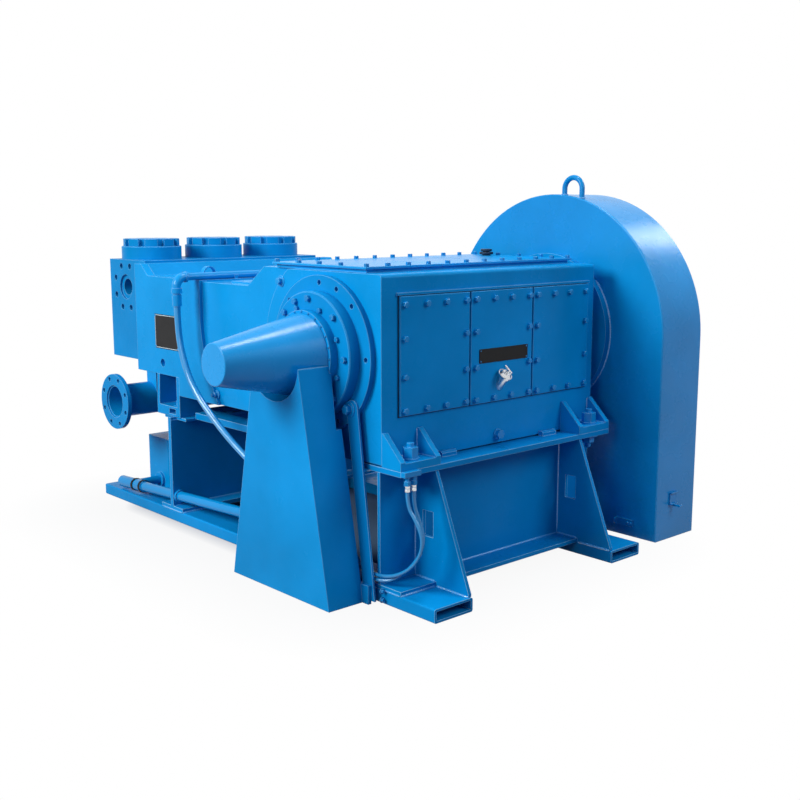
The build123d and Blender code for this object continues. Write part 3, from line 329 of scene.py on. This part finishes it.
def skin(bm, rings):
    """Closed form over rings of vertices that have the same count."""
    made = [[bm.verts.new(p) for p in ring] for ring in rings]
    for a, b in zip(made, made[1:]):
        for i in range(len(a)):
            j = (i + 1) % len(a)
            bm.faces.new((a[i], a[j], b[j], b[i]))
    bm.faces.new(made[0][::-1])
    bm.faces.new(made[-1])


def circle(place, radius, height, sides, turn=0.0):
    """Points of a regular polygon about the z axis of place."""
    angles = [turn + 2 * math.pi * i / sides for i in range(sides)]
    return [place @ Vector((radius * math.cos(a), radius * math.sin(a), height)) for a in angles]


def turned(bm, place, profile, sides=24):
    """Round form about the z axis of place, from (radius, height) pairs."""
    skin(bm, [circle(place, radius, height, sides) for radius, height in profile])


def hexagon(bm, place, across, low, high, turn):
    """Hexagon head between two heights, with its crown rounded off."""
    corner = across / math.sqrt(3)
    height = high - low
    profile = ((0.97, low), (1.0, low + 0.06 * height), (1.0, high - 0.16 * height), (0.84, high))
    skin(bm, [circle(place, corner * share, level, 6, turn) for share, level in profile])


def facing(point, normal):
    """Matrix at a layout point whose z axis is the normal."""
    turn = Vector(normal).to_track_quat("Z", "Y").to_matrix().to_4x4()
    return Matrix.Translation(at(*point)) @ turn


def bolt(bm, point, normal, across, dice, stud=0.0, washer=True):
    """Washer and hexagon head of a width across flats, with the stud's end where there is one."""
    place = facing(point, normal)
    base = 0.0
    if washer:
        base = WASHER_THICK * across
        rim = WASHER_RADIUS * across
        turned(bm, place, [(rim, -SUNK), (rim, 0.7 * base), (WASHER_TOP * across, base)])
    head = base + HEAD_HEIGHT * across
    hexagon(bm, place, across, base - 0.8 * SUNK, head, dice.uniform(0, math.pi / 3))
    if stud:
        shank = STUD_RADIUS * across
        profile = [(shank, head - SUNK), (shank, head + 0.8 * stud), (STUD_TIP * across, head + stud)]
        turned(bm, place, profile, 14)


def domed(bm, point, normal, radius, height):
    """Low domed head, as on a rivet or a button screw."""
    profile = [(radius, -0.8 * SUNK), (radius, 0.25 * height), (0.86 * radius, 0.68 * height),
               (0.55 * radius, 0.93 * height), (0.12 * radius, height)]
    turned(bm, facing(point, normal), profile, 16)


def bar(bm, low, high):
    """Box between two layout points, with small chamfers along its edges."""
    corners = bmesh.ops.create_cube(bm, size=1.0)["verts"]
    low, high = at(*low), at(*high)
    size, middle = high - low, (low + high) / 2
    for v in corners:
        v.co = Vector((v.co.x * size.x, v.co.y * size.y, v.co.z * size.z)) + middle
    edges = list({e for v in corners for e in v.link_edges})
    offset = min(abs(c) for c in size) * 0.16
    bmesh.ops.bevel(bm, geom=edges, offset=offset, segments=2, affect="EDGES", profile=0.5)


# ---------------------------------------------------------------- hoses
# The route points of the part's source, each hose from its upper fitting to its lower one.
LUBE_HOSE_RADIUS = 0.015
LUBE_HOSE = ((-715, 1338, 1088), (-715, 1338, 978), (-714, 1311, 868), (-711, 1262, 766),
             (-706, 1191, 681), (-701, 1103, 612), (-698, 1011, 549), (-696, 915, 496),
             (-689, 817, 443), (-663, 726, 389), (-600, 640, 327), (-600, 572, 259))
SMALL_HOSE_RADIUS = 0.0075
SMALL_HOSE_A = ((-613, -122, 471), (-613, -122, 415), (-602, -162, 360), (-595, -188, 298),
                (-596, -181, 237), (-604, -149, 184), (-618, -99, 143), (-634, -40, 119),
                (-647.5, 23, 115), (-647, 84, 124), (-638, 142, 145), (-620, 198, 177),
                (-600, 255, 207.6), (-600, 309, 207.6))
SMALL_HOSE_B = ((-580, -122, 471), (-580, -122, 414), (-570, -147, 351), (-563, -162, 288),
                (-567, -152, 227), (-580, -121, 175), (-602, -80, 130), (-628, -34, 99),
                (-648, 16, 96), (-647, 80, 102), (-638, 140, 124), (-622, 200, 155),
                (-600, 257, 183.6), (-600, 309, 183.6))


def cord(name, route, radius, material):
    """A hose on its route, in place of the plain tube of the same name."""
    curve = bpy.data.curves.new(name, "CURVE")
    curve.dimensions = "3D"
    curve.bevel_depth = radius
    curve.bevel_resolution = 5
    curve.resolution_u = 10
    curve.use_fill_caps = True
    line = curve.splines.new("NURBS")
    line.points.add(len(route) - 1)
    for point, place in zip(line.points, route):
        point.co = (*at(*place), 1.0)
    line.order_u = 3
    line.use_endpoint_u = True
    curve.materials.append(material)
    obj = bpy.data.objects.new(name, curve)
    bpy.context.scene.collection.objects.link(obj)
    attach(obj, "root")
    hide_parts(name)


def hoses():
    """The oil hose at the cone's side and the two small ones under the crankcase."""
    cord("lube_hose", LUBE_HOSE, LUBE_HOSE_RADIUS, M_HOSE)
    cord("small_hose_a", SMALL_HOSE_A, SMALL_HOSE_RADIUS, M_HOSE)
    cord("small_hose_b", SMALL_HOSE_B, SMALL_HOSE_RADIUS, M_HOSE)


# ---------------------------------------------------------------- covers of the crankcase
CASE_HALF = 635.0
COVER_THICK = 12.0
REAR_COVER_EDGES = ((-549.0, -171.0), (-163.0, 209.0), (217.0, 585.0))
REAR_SCREW_COLUMNS = ((-527, -411, -306, -193), (-136, -27, 77, 188), (240, 350, 452, 563))
REAR_SCREW_ROWS = (1169, 757)
REAR_SCREW_SIDE_ROWS = (1038, 889)
REAR_SCREW = 0.022
GASKET_PROUD = 3.5
GASKET_THICK = 3.0
GASKET_Z = (732.5, 1203.5)
TOP_COVER_TOP = 1310.0
TOP_SCREW_FIRST = -600
TOP_SCREW_PITCH = 108.9
TOP_SCREW_COUNT = 12
TOP_SCREW_ROWS = (125, 709)
TOP_SCREW_SIDES = (-600, 598)
TOP_SCREW_SIDE_ROWS = (282, 420, 554)
TOP_SCREW = 0.019


def rear_cover_gaskets():
    """Black gasket that stands out a little all round each rear cover."""
    bm = bmesh.new()
    for left, right in REAR_COVER_EDGES:
        bar(bm, (left - GASKET_PROUD, -GASKET_THICK, GASKET_Z[0]), (right + GASKET_PROUD, 0, GASKET_Z[1]))
    piece("rear_cover_gaskets", bm, M_GASKET)


def rear_cover_screws(dice):
    """A row of screws above and below on each rear cover, and two more down each of its sides."""
    bm = bmesh.new()
    for columns in REAR_SCREW_COLUMNS:
        spots = [(x, z) for x in columns for z in REAR_SCREW_ROWS]
        spots += [(x, z) for x in (columns[0], columns[-1]) for z in REAR_SCREW_SIDE_ROWS]
        for x, z in spots:
            bolt(bm, (x, -COVER_THICK, z), REARWARD, REAR_SCREW, dice, washer=False)
    piece("rear_cover_screws", bm, M_SMALL)


def top_cover_screws(dice):
    """Screws along the long edges of the top covers, and three on each short edge."""
    bm = bmesh.new()
    columns = [TOP_SCREW_FIRST + TOP_SCREW_PITCH * i for i in range(TOP_SCREW_COUNT)]
    spots = [(x, y) for x in columns for y in TOP_SCREW_ROWS]
    spots += [(x, y) for x in TOP_SCREW_SIDES for y in TOP_SCREW_SIDE_ROWS]
    for x, y in spots:
        bolt(bm, (x, y, TOP_COVER_TOP), UPWARD, TOP_SCREW, dice, washer=False)
    piece("top_cover_screws", bm, M_BOLT)


# ---------------------------------------------------------------- shaft end and the stand's strap
CRANK_Y = 345.0
CRANK_Z = 960.0
RING_THICK = 25.0
CAP_THICK = 52.0
CAP_FACE = -CASE_HALF - RING_THICK - CAP_THICK
CAP_OUTER, CAP_OUTER_SCREW = 222, 0.023
CAP_INNER, CAP_INNER_SCREW = 193.5, 0.019
CAP_SCREWS = 8
CAP_NINTH_ANGLE = 67.5
COLLAR_FACE = -748.0
COLLAR_RIVETS = 24
COLLAR_RIVET_CIRCLE = 172.5
COLLAR_RIVET = (0.0045, 0.005)
COLLAR_HIDDEN = (205, 335)
STRAP_THICK = 9.0
STRAP_FACE = -CASE_HALF - RING_THICK - STRAP_THICK
STRAP_HEAD, STRAP_HEAD_BOLT = (150, 760), 0.034
STRAP_FOOT, STRAP_FOOT_BOLT = (38, 38), 0.019
BESIDE_FOOT_X, BESIDE_FOOT_Y = -648, -15
BESIDE_FOOT_ROWS = (22, 58)
BESIDE_FOOT_BOLT = 0.013


def round_shaft(x, radius, angle):
    """Layout point on a circle about the crankshaft, at an angle in degrees."""
    a = math.radians(angle)
    return (x, CRANK_Y + radius * math.cos(a), CRANK_Z + radius * math.sin(a))


def bearing_cap_screws(dice):
    """Two circles of screws on the bearing cap, a ninth on the outer one, and the cone collar's rivets."""
    bm = bmesh.new()
    step = 360 / CAP_SCREWS
    for k in range(CAP_SCREWS):
        outer = round_shaft(CAP_FACE, CAP_OUTER, step * k)
        inner = round_shaft(CAP_FACE, CAP_INNER, step * (k + 0.5))
        bolt(bm, outer, LEFTWARD, CAP_OUTER_SCREW, dice, washer=False)
        bolt(bm, inner, LEFTWARD, CAP_INNER_SCREW, dice, washer=False)
    ninth = round_shaft(CAP_FACE, CAP_OUTER, CAP_NINTH_ANGLE)
    bolt(bm, ninth, LEFTWARD, CAP_OUTER_SCREW, dice, washer=False)
    for k in range(COLLAR_RIVETS):
        angle = 360 / COLLAR_RIVETS * k
        if not COLLAR_HIDDEN[0] < angle < COLLAR_HIDDEN[1]:
            domed(bm, round_shaft(COLLAR_FACE, COLLAR_RIVET_CIRCLE, angle), LEFTWARD, *COLLAR_RIVET)
    piece("bearing_cap_screws", bm, M_BOLT)


def stay_bolts(dice):
    """Bolts of the strap's head and foot, and two small ones beside the foot."""
    bm = bmesh.new()
    bolt(bm, (STRAP_FACE, *STRAP_HEAD), LEFTWARD, STRAP_HEAD_BOLT, dice)
    bolt(bm, (STRAP_FACE, *STRAP_FOOT), LEFTWARD, STRAP_FOOT_BOLT, dice)
    for z in BESIDE_FOOT_ROWS:
        bolt(bm, (BESIDE_FOOT_X, BESIDE_FOOT_Y, z), REARWARD, BESIDE_FOOT_BOLT, dice)
    piece("stay_bolts", bm, M_SMALL)


# ---------------------------------------------------------------- other bolts, rivets and fittings
HOLD_DOWN_X = 545
HOLD_DOWN_Y = -65
HOLD_DOWN_BOLT, HOLD_DOWN_STUD = 0.046, 0.020
SHELF_BOTTOM = 526.0
CRADLE_BOLT_X = 560
CRADLE_BOLT_Y = 1601
CRADLE_FLOOR = 570
CRADLE_BOLT, CRADLE_STUD = 0.036, 0.012
LUG_BOLT = 0.026
LUG_PLACE = (-CASE_HALF, 634, 1233)
PLUG_PLACE = (-590, 1213, 677)
PLUG_FLANGE = ((0.022, -0.001), (0.022, 0.006), (0.020, 0.008))
PLUG_BODY = ((0.013, 0.007), (0.013, 0.020), (0.011, 0.022))
PLUG_HEX, PLUG_HEX_HEIGHTS = 0.016, (0.021, 0.034)
FERRULE_TOP = 495
FERRULE = ((0.0102, -0.0010), (0.0114, 0.0000), (0.0114, 0.0072), (0.0106, 0.0086),
           (0.0106, 0.0120), (0.0114, 0.0134), (0.0114, 0.0230), (0.0102, 0.0240))
HANDLE_RIVETS = [(740, y, 95.5) for y in (-174, -156)]
HANDLE_RIVET = (0.006, 0.005)
NAMEPLATE_FACE = -609
NAMEPLATE_RIVETS = [(NAMEPLATE_FACE, y, z) for y in (1526, 1728) for z in (860, 1012)]
NAMEPLATE_RIVET = (0.0045, 0.003)
LABEL_RIVETS = [(x, -15, z) for x in (-107, 171) for z in (911, 955)]
LABEL_RIVET = (0.003, 0.0015)
BORDER_Y = (1521, 1733)
BORDER_Z = (855, 1017)
BORDER_WIDTH = 3
BORDER_X = (-609.6, -608.5)


def foot_bolts(dice):
    """Undersides of the hold-down bolts at the rear, and the bolts in the cradle's feet."""
    bm = bmesh.new()
    for side in (-1, 1):
        place = (side * HOLD_DOWN_X, HOLD_DOWN_Y, SHELF_BOTTOM)
        bolt(bm, place, DOWNWARD, HOLD_DOWN_BOLT, dice, stud=HOLD_DOWN_STUD)
    for side in (-1, 1):
        place = (side * CRADLE_BOLT_X, CRADLE_BOLT_Y, CRADLE_FLOOR)
        bolt(bm, place, UPWARD, CRADLE_BOLT, dice, stud=CRADLE_STUD)
    piece("foot_bolts", bm, M_SMALL)


def side_fittings(dice):
    """Lug bolt high on the crankcase's side and the plugged tapping low on the crosshead housing."""
    bm = bmesh.new()
    bolt(bm, LUG_PLACE, LEFTWARD, LUG_BOLT, dice)
    place = facing(PLUG_PLACE, LEFTWARD)
    turned(bm, place, PLUG_FLANGE)
    turned(bm, place, PLUG_BODY, 16)
    hexagon(bm, place, PLUG_HEX, *PLUG_HEX_HEIGHTS, dice.uniform(0, 1))
    piece("side_fittings", bm, M_SMALL)


def hose_ferrules():
    """Bright swaged ferrules where the small hoses leave their block."""
    bm = bmesh.new()
    for route in (SMALL_HOSE_A, SMALL_HOSE_B):
        x, y, _ = route[0]
        turned(bm, facing((x, y, FERRULE_TOP), DOWNWARD), FERRULE, 20)
    piece("hose_ferrules", bm, M_STEEL)


def plate_rivets():
    """Rivets of the guard's handle, the nameplate and the black label."""
    bm = bmesh.new()
    for points, normal, size in ((HANDLE_RIVETS, LEFTWARD, HANDLE_RIVET),
                                 (NAMEPLATE_RIVETS, LEFTWARD, NAMEPLATE_RIVET),
                                 (LABEL_RIVETS, REARWARD, LABEL_RIVET)):
        for point in points:
            domed(bm, point, normal, *size)
    piece("plate_rivets", bm, M_SMALL)


def nameplate_border():
    """Thin pale frame on the blank nameplate: two long bars with two short ones between them."""
    bm = bmesh.new()
    (y0, y1), (z0, z1), (x0, x1) = BORDER_Y, BORDER_Z, BORDER_X
    inner_z0, inner_z1 = z0 + BORDER_WIDTH, z1 - BORDER_WIDTH
    bar(bm, (x0, y0, inner_z1), (x1, y1, z1))
    bar(bm, (x0, y0, z0), (x1, y1, inner_z0))
    bar(bm, (x0, y0, inner_z0), (x1, y0 + BORDER_WIDTH, inner_z1))
    bar(bm, (x0, y1 - BORDER_WIDTH, inner_z0), (x1, y1, inner_z1))
    piece("nameplate_border", bm, M_BORDER)


# ---------------------------------------------------------------- welds
# The ripples' pitch and the beads' radii, in metres.
RIPPLE = 0.0035
HEAVY, MEDIUM, LIGHT, FINE = 0.006, 0.005, 0.004, 0.0035
# How far a bead's middle lies above its plate, and the plates' places, in layout millimetres.
BEAD_LIFT = 1
SKID_HALF = 635
RAIL_INNER = 432
ON_RAIL = 56 + BEAD_LIFT
ON_POWER_BASE = 74 + BEAD_LIFT
FOOT_TOP = 578
GUSSET_PLATE = 16
GUSSET_FACES = (RAIL_INNER + GUSSET_PLATE, RAIL_INNER)
# Runs in the y-z plane, as (start, end): beside each gusset plate on the rail, on the base, up the web and
# under the shelf.
GUSSET_RUNS = (((-288, ON_RAIL), (-112, ON_RAIL)), ((-104, ON_POWER_BASE), (6, ON_POWER_BASE)),
               ((10, 80), (10, 522)), ((-100, SHELF_BOTTOM), (6, SHELF_BOTTOM)))
POWER_BASE_Y = (-110, 146)
POWER_WEB_Y = (10, 26)
POWER_WEB_RUN = 430
EDGE_GAP = 6
# The same on the crankcase's foot: along its gusset and up the crankcase.
FOOT_GUSSET_FACES = (610, 450)
FOOT_GUSSET_RUNS = (((-106, FOOT_TOP), (-2, FOOT_TOP)), ((0, 582), (0, 678)))
FOOT_BACK_RUN = (600, 455)
FLUID_WEB_Y = 1586
FLUID_BASE_Y = (FLUID_WEB_Y - 98, FLUID_WEB_Y + 98)
FLUID_WEB_FACES = (FLUID_WEB_Y - 12.5, FLUID_WEB_Y + 12.5)
FLUID_WEB_RUN = 632
FLUID_WEB_Z = (76, 508)
EYE_X = 767
EYE_FEET = ((186, 1578.4), (289, 1595.8))
EYE_BEAD_CIRCLE = 13
EYE_BEAD_STEP, EYE_BEAD_COUNT = 36, 10
HUB_BEAD_X = 747
HUB_BEAD_CIRCLE = 363
HUB_BEAD_FROM, HUB_BEAD_STEP, HUB_BEAD_COUNT = 138, 7.5, 13


def weld(bm, start, end, radius, dice):
    """Rippled weld bead along an inner corner, from one layout point to another."""
    start, end = at(*start), at(*end)
    run = end - start
    count = max(6, int(run.length / RIPPLE))
    along = run.normalized()
    side = along.orthogonal().normalized()
    up = along.cross(side)
    rings = []
    for i in range(count + 1):
        share = i / count
        swell = 1.0 + 0.16 * math.sin(i * 1.7) + dice.uniform(-0.07, 0.07)
        taper = min(1.0, 0.35 + 12 * min(share, 1 - share))
        r = radius * swell * taper
        middle = start + run * share + side * dice.uniform(-0.06, 0.06) * radius
        rings.append([middle + (side * math.cos(a) + up * math.sin(a)) * r
                      for a in (2 * math.pi * k / 8 for k in range(8))])
    skin(bm, rings)


def weld_round(bm, point, first, step, count, lap, radius, dice):
    """Bead round an arc, as short runs that overlap. point gives the layout point at an angle in degrees."""
    for k in range(count):
        weld(bm, point(first + step * k), point(first + step * (k + lap)), radius, dice)


def side_welds(bm, side, dice):
    """Beads of one side: both pedestals' base plates, the gusset and the crankcase's foot."""
    edge = side * SKID_HALF
    rear, front = POWER_BASE_Y
    for y, inner in ((rear, GUSSET_FACES[0]), (front, RAIL_INNER)):
        weld(bm, (edge, y, ON_RAIL), (side * inner, y, ON_RAIL), HEAVY, dice)
    for y0, y1 in ((rear, POWER_WEB_Y[0]), (POWER_WEB_Y[1], front)):
        weld(bm, (edge, y0 + EDGE_GAP, ON_RAIL), (edge, y1 - EDGE_GAP, ON_RAIL), FINE, dice)
    for faces, runs, radius in ((GUSSET_FACES, GUSSET_RUNS, MEDIUM),
                                (FOOT_GUSSET_FACES, FOOT_GUSSET_RUNS, LIGHT)):
        for x in faces:
            for start, end in runs:
                weld(bm, (side * x, *start), (side * x, *end), radius, dice)
    weld(bm, (side * FOOT_BACK_RUN[0], 0, FOOT_TOP), (side * FOOT_BACK_RUN[1], 0, FOOT_TOP), LIGHT, dice)
    for y in FLUID_BASE_Y:
        weld(bm, (side * (SKID_HALF - 1), y, ON_RAIL), (side * RAIL_INNER, y, ON_RAIL), HEAVY, dice)
    rear, front = FLUID_BASE_Y
    weld(bm, (edge, rear + EDGE_GAP, ON_RAIL), (edge, front - EDGE_GAP, ON_RAIL), FINE, dice)


def web_welds(bm, dice):
    """Long beads across the pump, at the foot and head of the front web and at the foot of the rear one."""
    for y in FLUID_WEB_FACES:
        for z in FLUID_WEB_Z:
            weld(bm, (-FLUID_WEB_RUN, y, z), (FLUID_WEB_RUN, y, z), MEDIUM, dice)
    y = POWER_WEB_Y[0]
    weld(bm, (-POWER_WEB_RUN, y, ON_POWER_BASE), (POWER_WEB_RUN, y, ON_POWER_BASE), MEDIUM, dice)


def guard_welds(bm, dice):
    """Beads round both legs of the lifting eye and along the part of the hub ring that shows."""
    for y, z in EYE_FEET:
        def round_leg(angle):
            a = math.radians(angle)
            return (EYE_X + EYE_BEAD_CIRCLE * math.cos(a), y + EYE_BEAD_CIRCLE * math.sin(a), z)

        weld_round(bm, round_leg, 0, EYE_BEAD_STEP, EYE_BEAD_COUNT, 1.15, LIGHT, dice)

    def on_hub(angle):
        return round_shaft(HUB_BEAD_X, HUB_BEAD_CIRCLE, angle)

    weld_round(bm, on_hub, HUB_BEAD_FROM, HUB_BEAD_STEP, HUB_BEAD_COUNT, 1.05, MEDIUM, dice)


def weld_beads(dice):
    """Every bead of the pump, as one piece."""
    bm = bmesh.new()
    for side in (-1, 1):
        side_welds(bm, side, dice)
    web_welds(bm, dice)
    guard_welds(bm, dice)
    piece("weld_beads", bm, M_WELD_PAINTED_HIGHLIGHT, sharp=60)


# ---------------------------------------------------------------- floor, world and lamps
FLOOR_SIZE = 60
FLOOR_LEVEL = -0.001
# The floor's colour to the light that bounces onto the pump, then the dark navy painted shade that is seen in
# place of white under the pump.
FLOOR_TONE = (0.06, 0.11, 0.18, 1)
FLOOR_PAINTED_SHADE = (0.09, 0.15, 0.24, 1)
# The box of the floor that shows the painted shade under the pump: middle and half width, then how it fades
# to white around that, in metres.
SHADE_X = (0.056, 0.46)
SHADE_Y = (0.06, 0.80)
SHADE_EDGE = 0.26
NEAR_WHITE = 0.93
WHITE_FROM = 0.9
AMBIENT_STRENGTH = 0.18
AMBIENT_TINT = (0.55, 0.75, 1, 1)
# Name, place, what it is aimed at, size, power and colour.
LAMPS = (
    ("key", (-6.2, 1.0, 4.0), (0, 0, 0.7), (2.8, 2.8), 500, (1, 1, 0.97)),
    ("front", (-4.2, -2.4, 2.2), (-0.7, -0.7, 0.7), (1.5, 1.5), 26, (1, 1, 1)),
    ("fill", (2.6, -5.6, 4.4), (0, 0, 0.7), (3.0, 3.0), 165, (0.80, 0.92, 1)),
    ("over", (0.4, -0.6, 6.4), (-0.6, -0.6, 1.0), (1.0, 2.0), 170, (1, 1, 1)),
    ("rim", (5.6, -1.2, 4.2), (0.9, -0.9, 1.2), (1.2, 1.6), 60, (1, 1, 1)),
)


def soft_light(name, place, target, size, power, colour):
    """Rectangular studio lamp that faces its target."""
    data = bpy.data.lights.new(name, "AREA")
    data.shape = "RECTANGLE"
    data.size, data.size_y = size
    data.energy = power
    data.color = colour
    lamp = bpy.data.objects.new(name, data)
    bpy.context.scene.collection.objects.link(lamp)
    lamp.location = place
    lamp.rotation_euler = (Vector(target) - Vector(place)).to_track_quat("-Z", "Y").to_euler()


def seen_rays(nodes):
    """1 for camera, glossy and transmission rays, 0 for the light that reaches the object."""
    paths = nodes.add("ShaderNodeLightPath").outputs
    first = nodes.maths("MAXIMUM", paths["Is Camera Ray"], paths["Is Glossy Ray"])
    return nodes.maths("MAXIMUM", first, paths["Is Transmission Ray"])


def outside(nodes, value, middle, half):
    """How far a coordinate lies outside an interval, in metres."""
    gap = nodes.maths("ABSOLUTE", nodes.maths("SUBTRACT", value, middle))
    return nodes.maths("MAXIMUM", nodes.maths("SUBTRACT", gap, half), 0.0)


def floor_material():
    """White floor with a dark navy painted shade in a box under the pump, over the floor's real shadow,
    fading to plain white around it.
    """
    mat, nodes = new_material("floor_white")
    seen = seen_rays(nodes)
    diffuse = nodes.add("ShaderNodeBsdfDiffuse")
    nodes.put(diffuse.inputs["Color"], nodes.mix_colours(seen, FLOOR_TONE, FLOOR_PAINTED_SHADE))
    white = nodes.add("ShaderNodeEmission")
    white.inputs["Strength"].default_value = 1.0
    axes = nodes.add("ShaderNodeSeparateXYZ")
    nodes.put(axes.inputs[0], nodes.add("ShaderNodeNewGeometry").outputs["Position"])
    across = outside(nodes, axes.outputs["X"], *SHADE_X)
    along = outside(nodes, axes.outputs["Y"], *SHADE_Y)
    across_squared = nodes.maths("MULTIPLY", across, across)
    along_squared = nodes.maths("MULTIPLY", along, along)
    away = nodes.maths("SQRT", nodes.maths("ADD", across_squared, along_squared))
    near = nodes.ramp(away, 0.0, SHADE_EDGE, 0.0, NEAR_WHITE)
    far = nodes.ramp(away, SHADE_EDGE, WHITE_FROM, 0.0, 1.0 - NEAR_WHITE)
    share = nodes.maths("MULTIPLY", seen, nodes.maths("ADD", near, far))
    nodes.show(nodes.mix_shaders(share, diffuse.outputs[0], white.outputs[0]))
    return mat


def make_world():
    """White where it is seen, and a weak blue light on everything else."""
    world = bpy.data.worlds.new("studio")
    bpy.context.scene.world = world
    world.use_nodes = True
    nodes = Nodes(world.node_tree)
    white = nodes.add("ShaderNodeBackground")
    white.inputs["Strength"].default_value = 1.0
    white.inputs["Color"].default_value = (1, 1, 1, 1)
    ambient = nodes.add("ShaderNodeBackground")
    ambient.inputs["Strength"].default_value = AMBIENT_STRENGTH
    ambient.inputs["Color"].default_value = AMBIENT_TINT
    mixed = nodes.mix_shaders(seen_rays(nodes), ambient.outputs[0], white.outputs[0])
    nodes.show(mixed, "ShaderNodeOutputWorld")


def stage():
    """Floor, world and lamps."""
    bpy.ops.mesh.primitive_plane_add(size=FLOOR_SIZE, location=(0, 0, FLOOR_LEVEL))
    floor = bpy.context.object
    floor.name = "floor"
    floor.data.materials.append(floor_material())
    make_world()
    for lamp in LAMPS:
        soft_light(*lamp)


# ---------------------------------------------------------------- the scene
dress_nodes()
make_camera()
hoses()
dice = random.Random(7)
rear_cover_gaskets()
rear_cover_screws(dice)
top_cover_screws(dice)
bearing_cap_screws(dice)
stay_bolts(dice)
foot_bolts(dice)
side_fittings(dice)
hose_ferrules()
plate_rivets()
nameplate_border()
weld_beads(dice)
stage()
bpy.context.scene.view_settings.view_transform = "Standard"
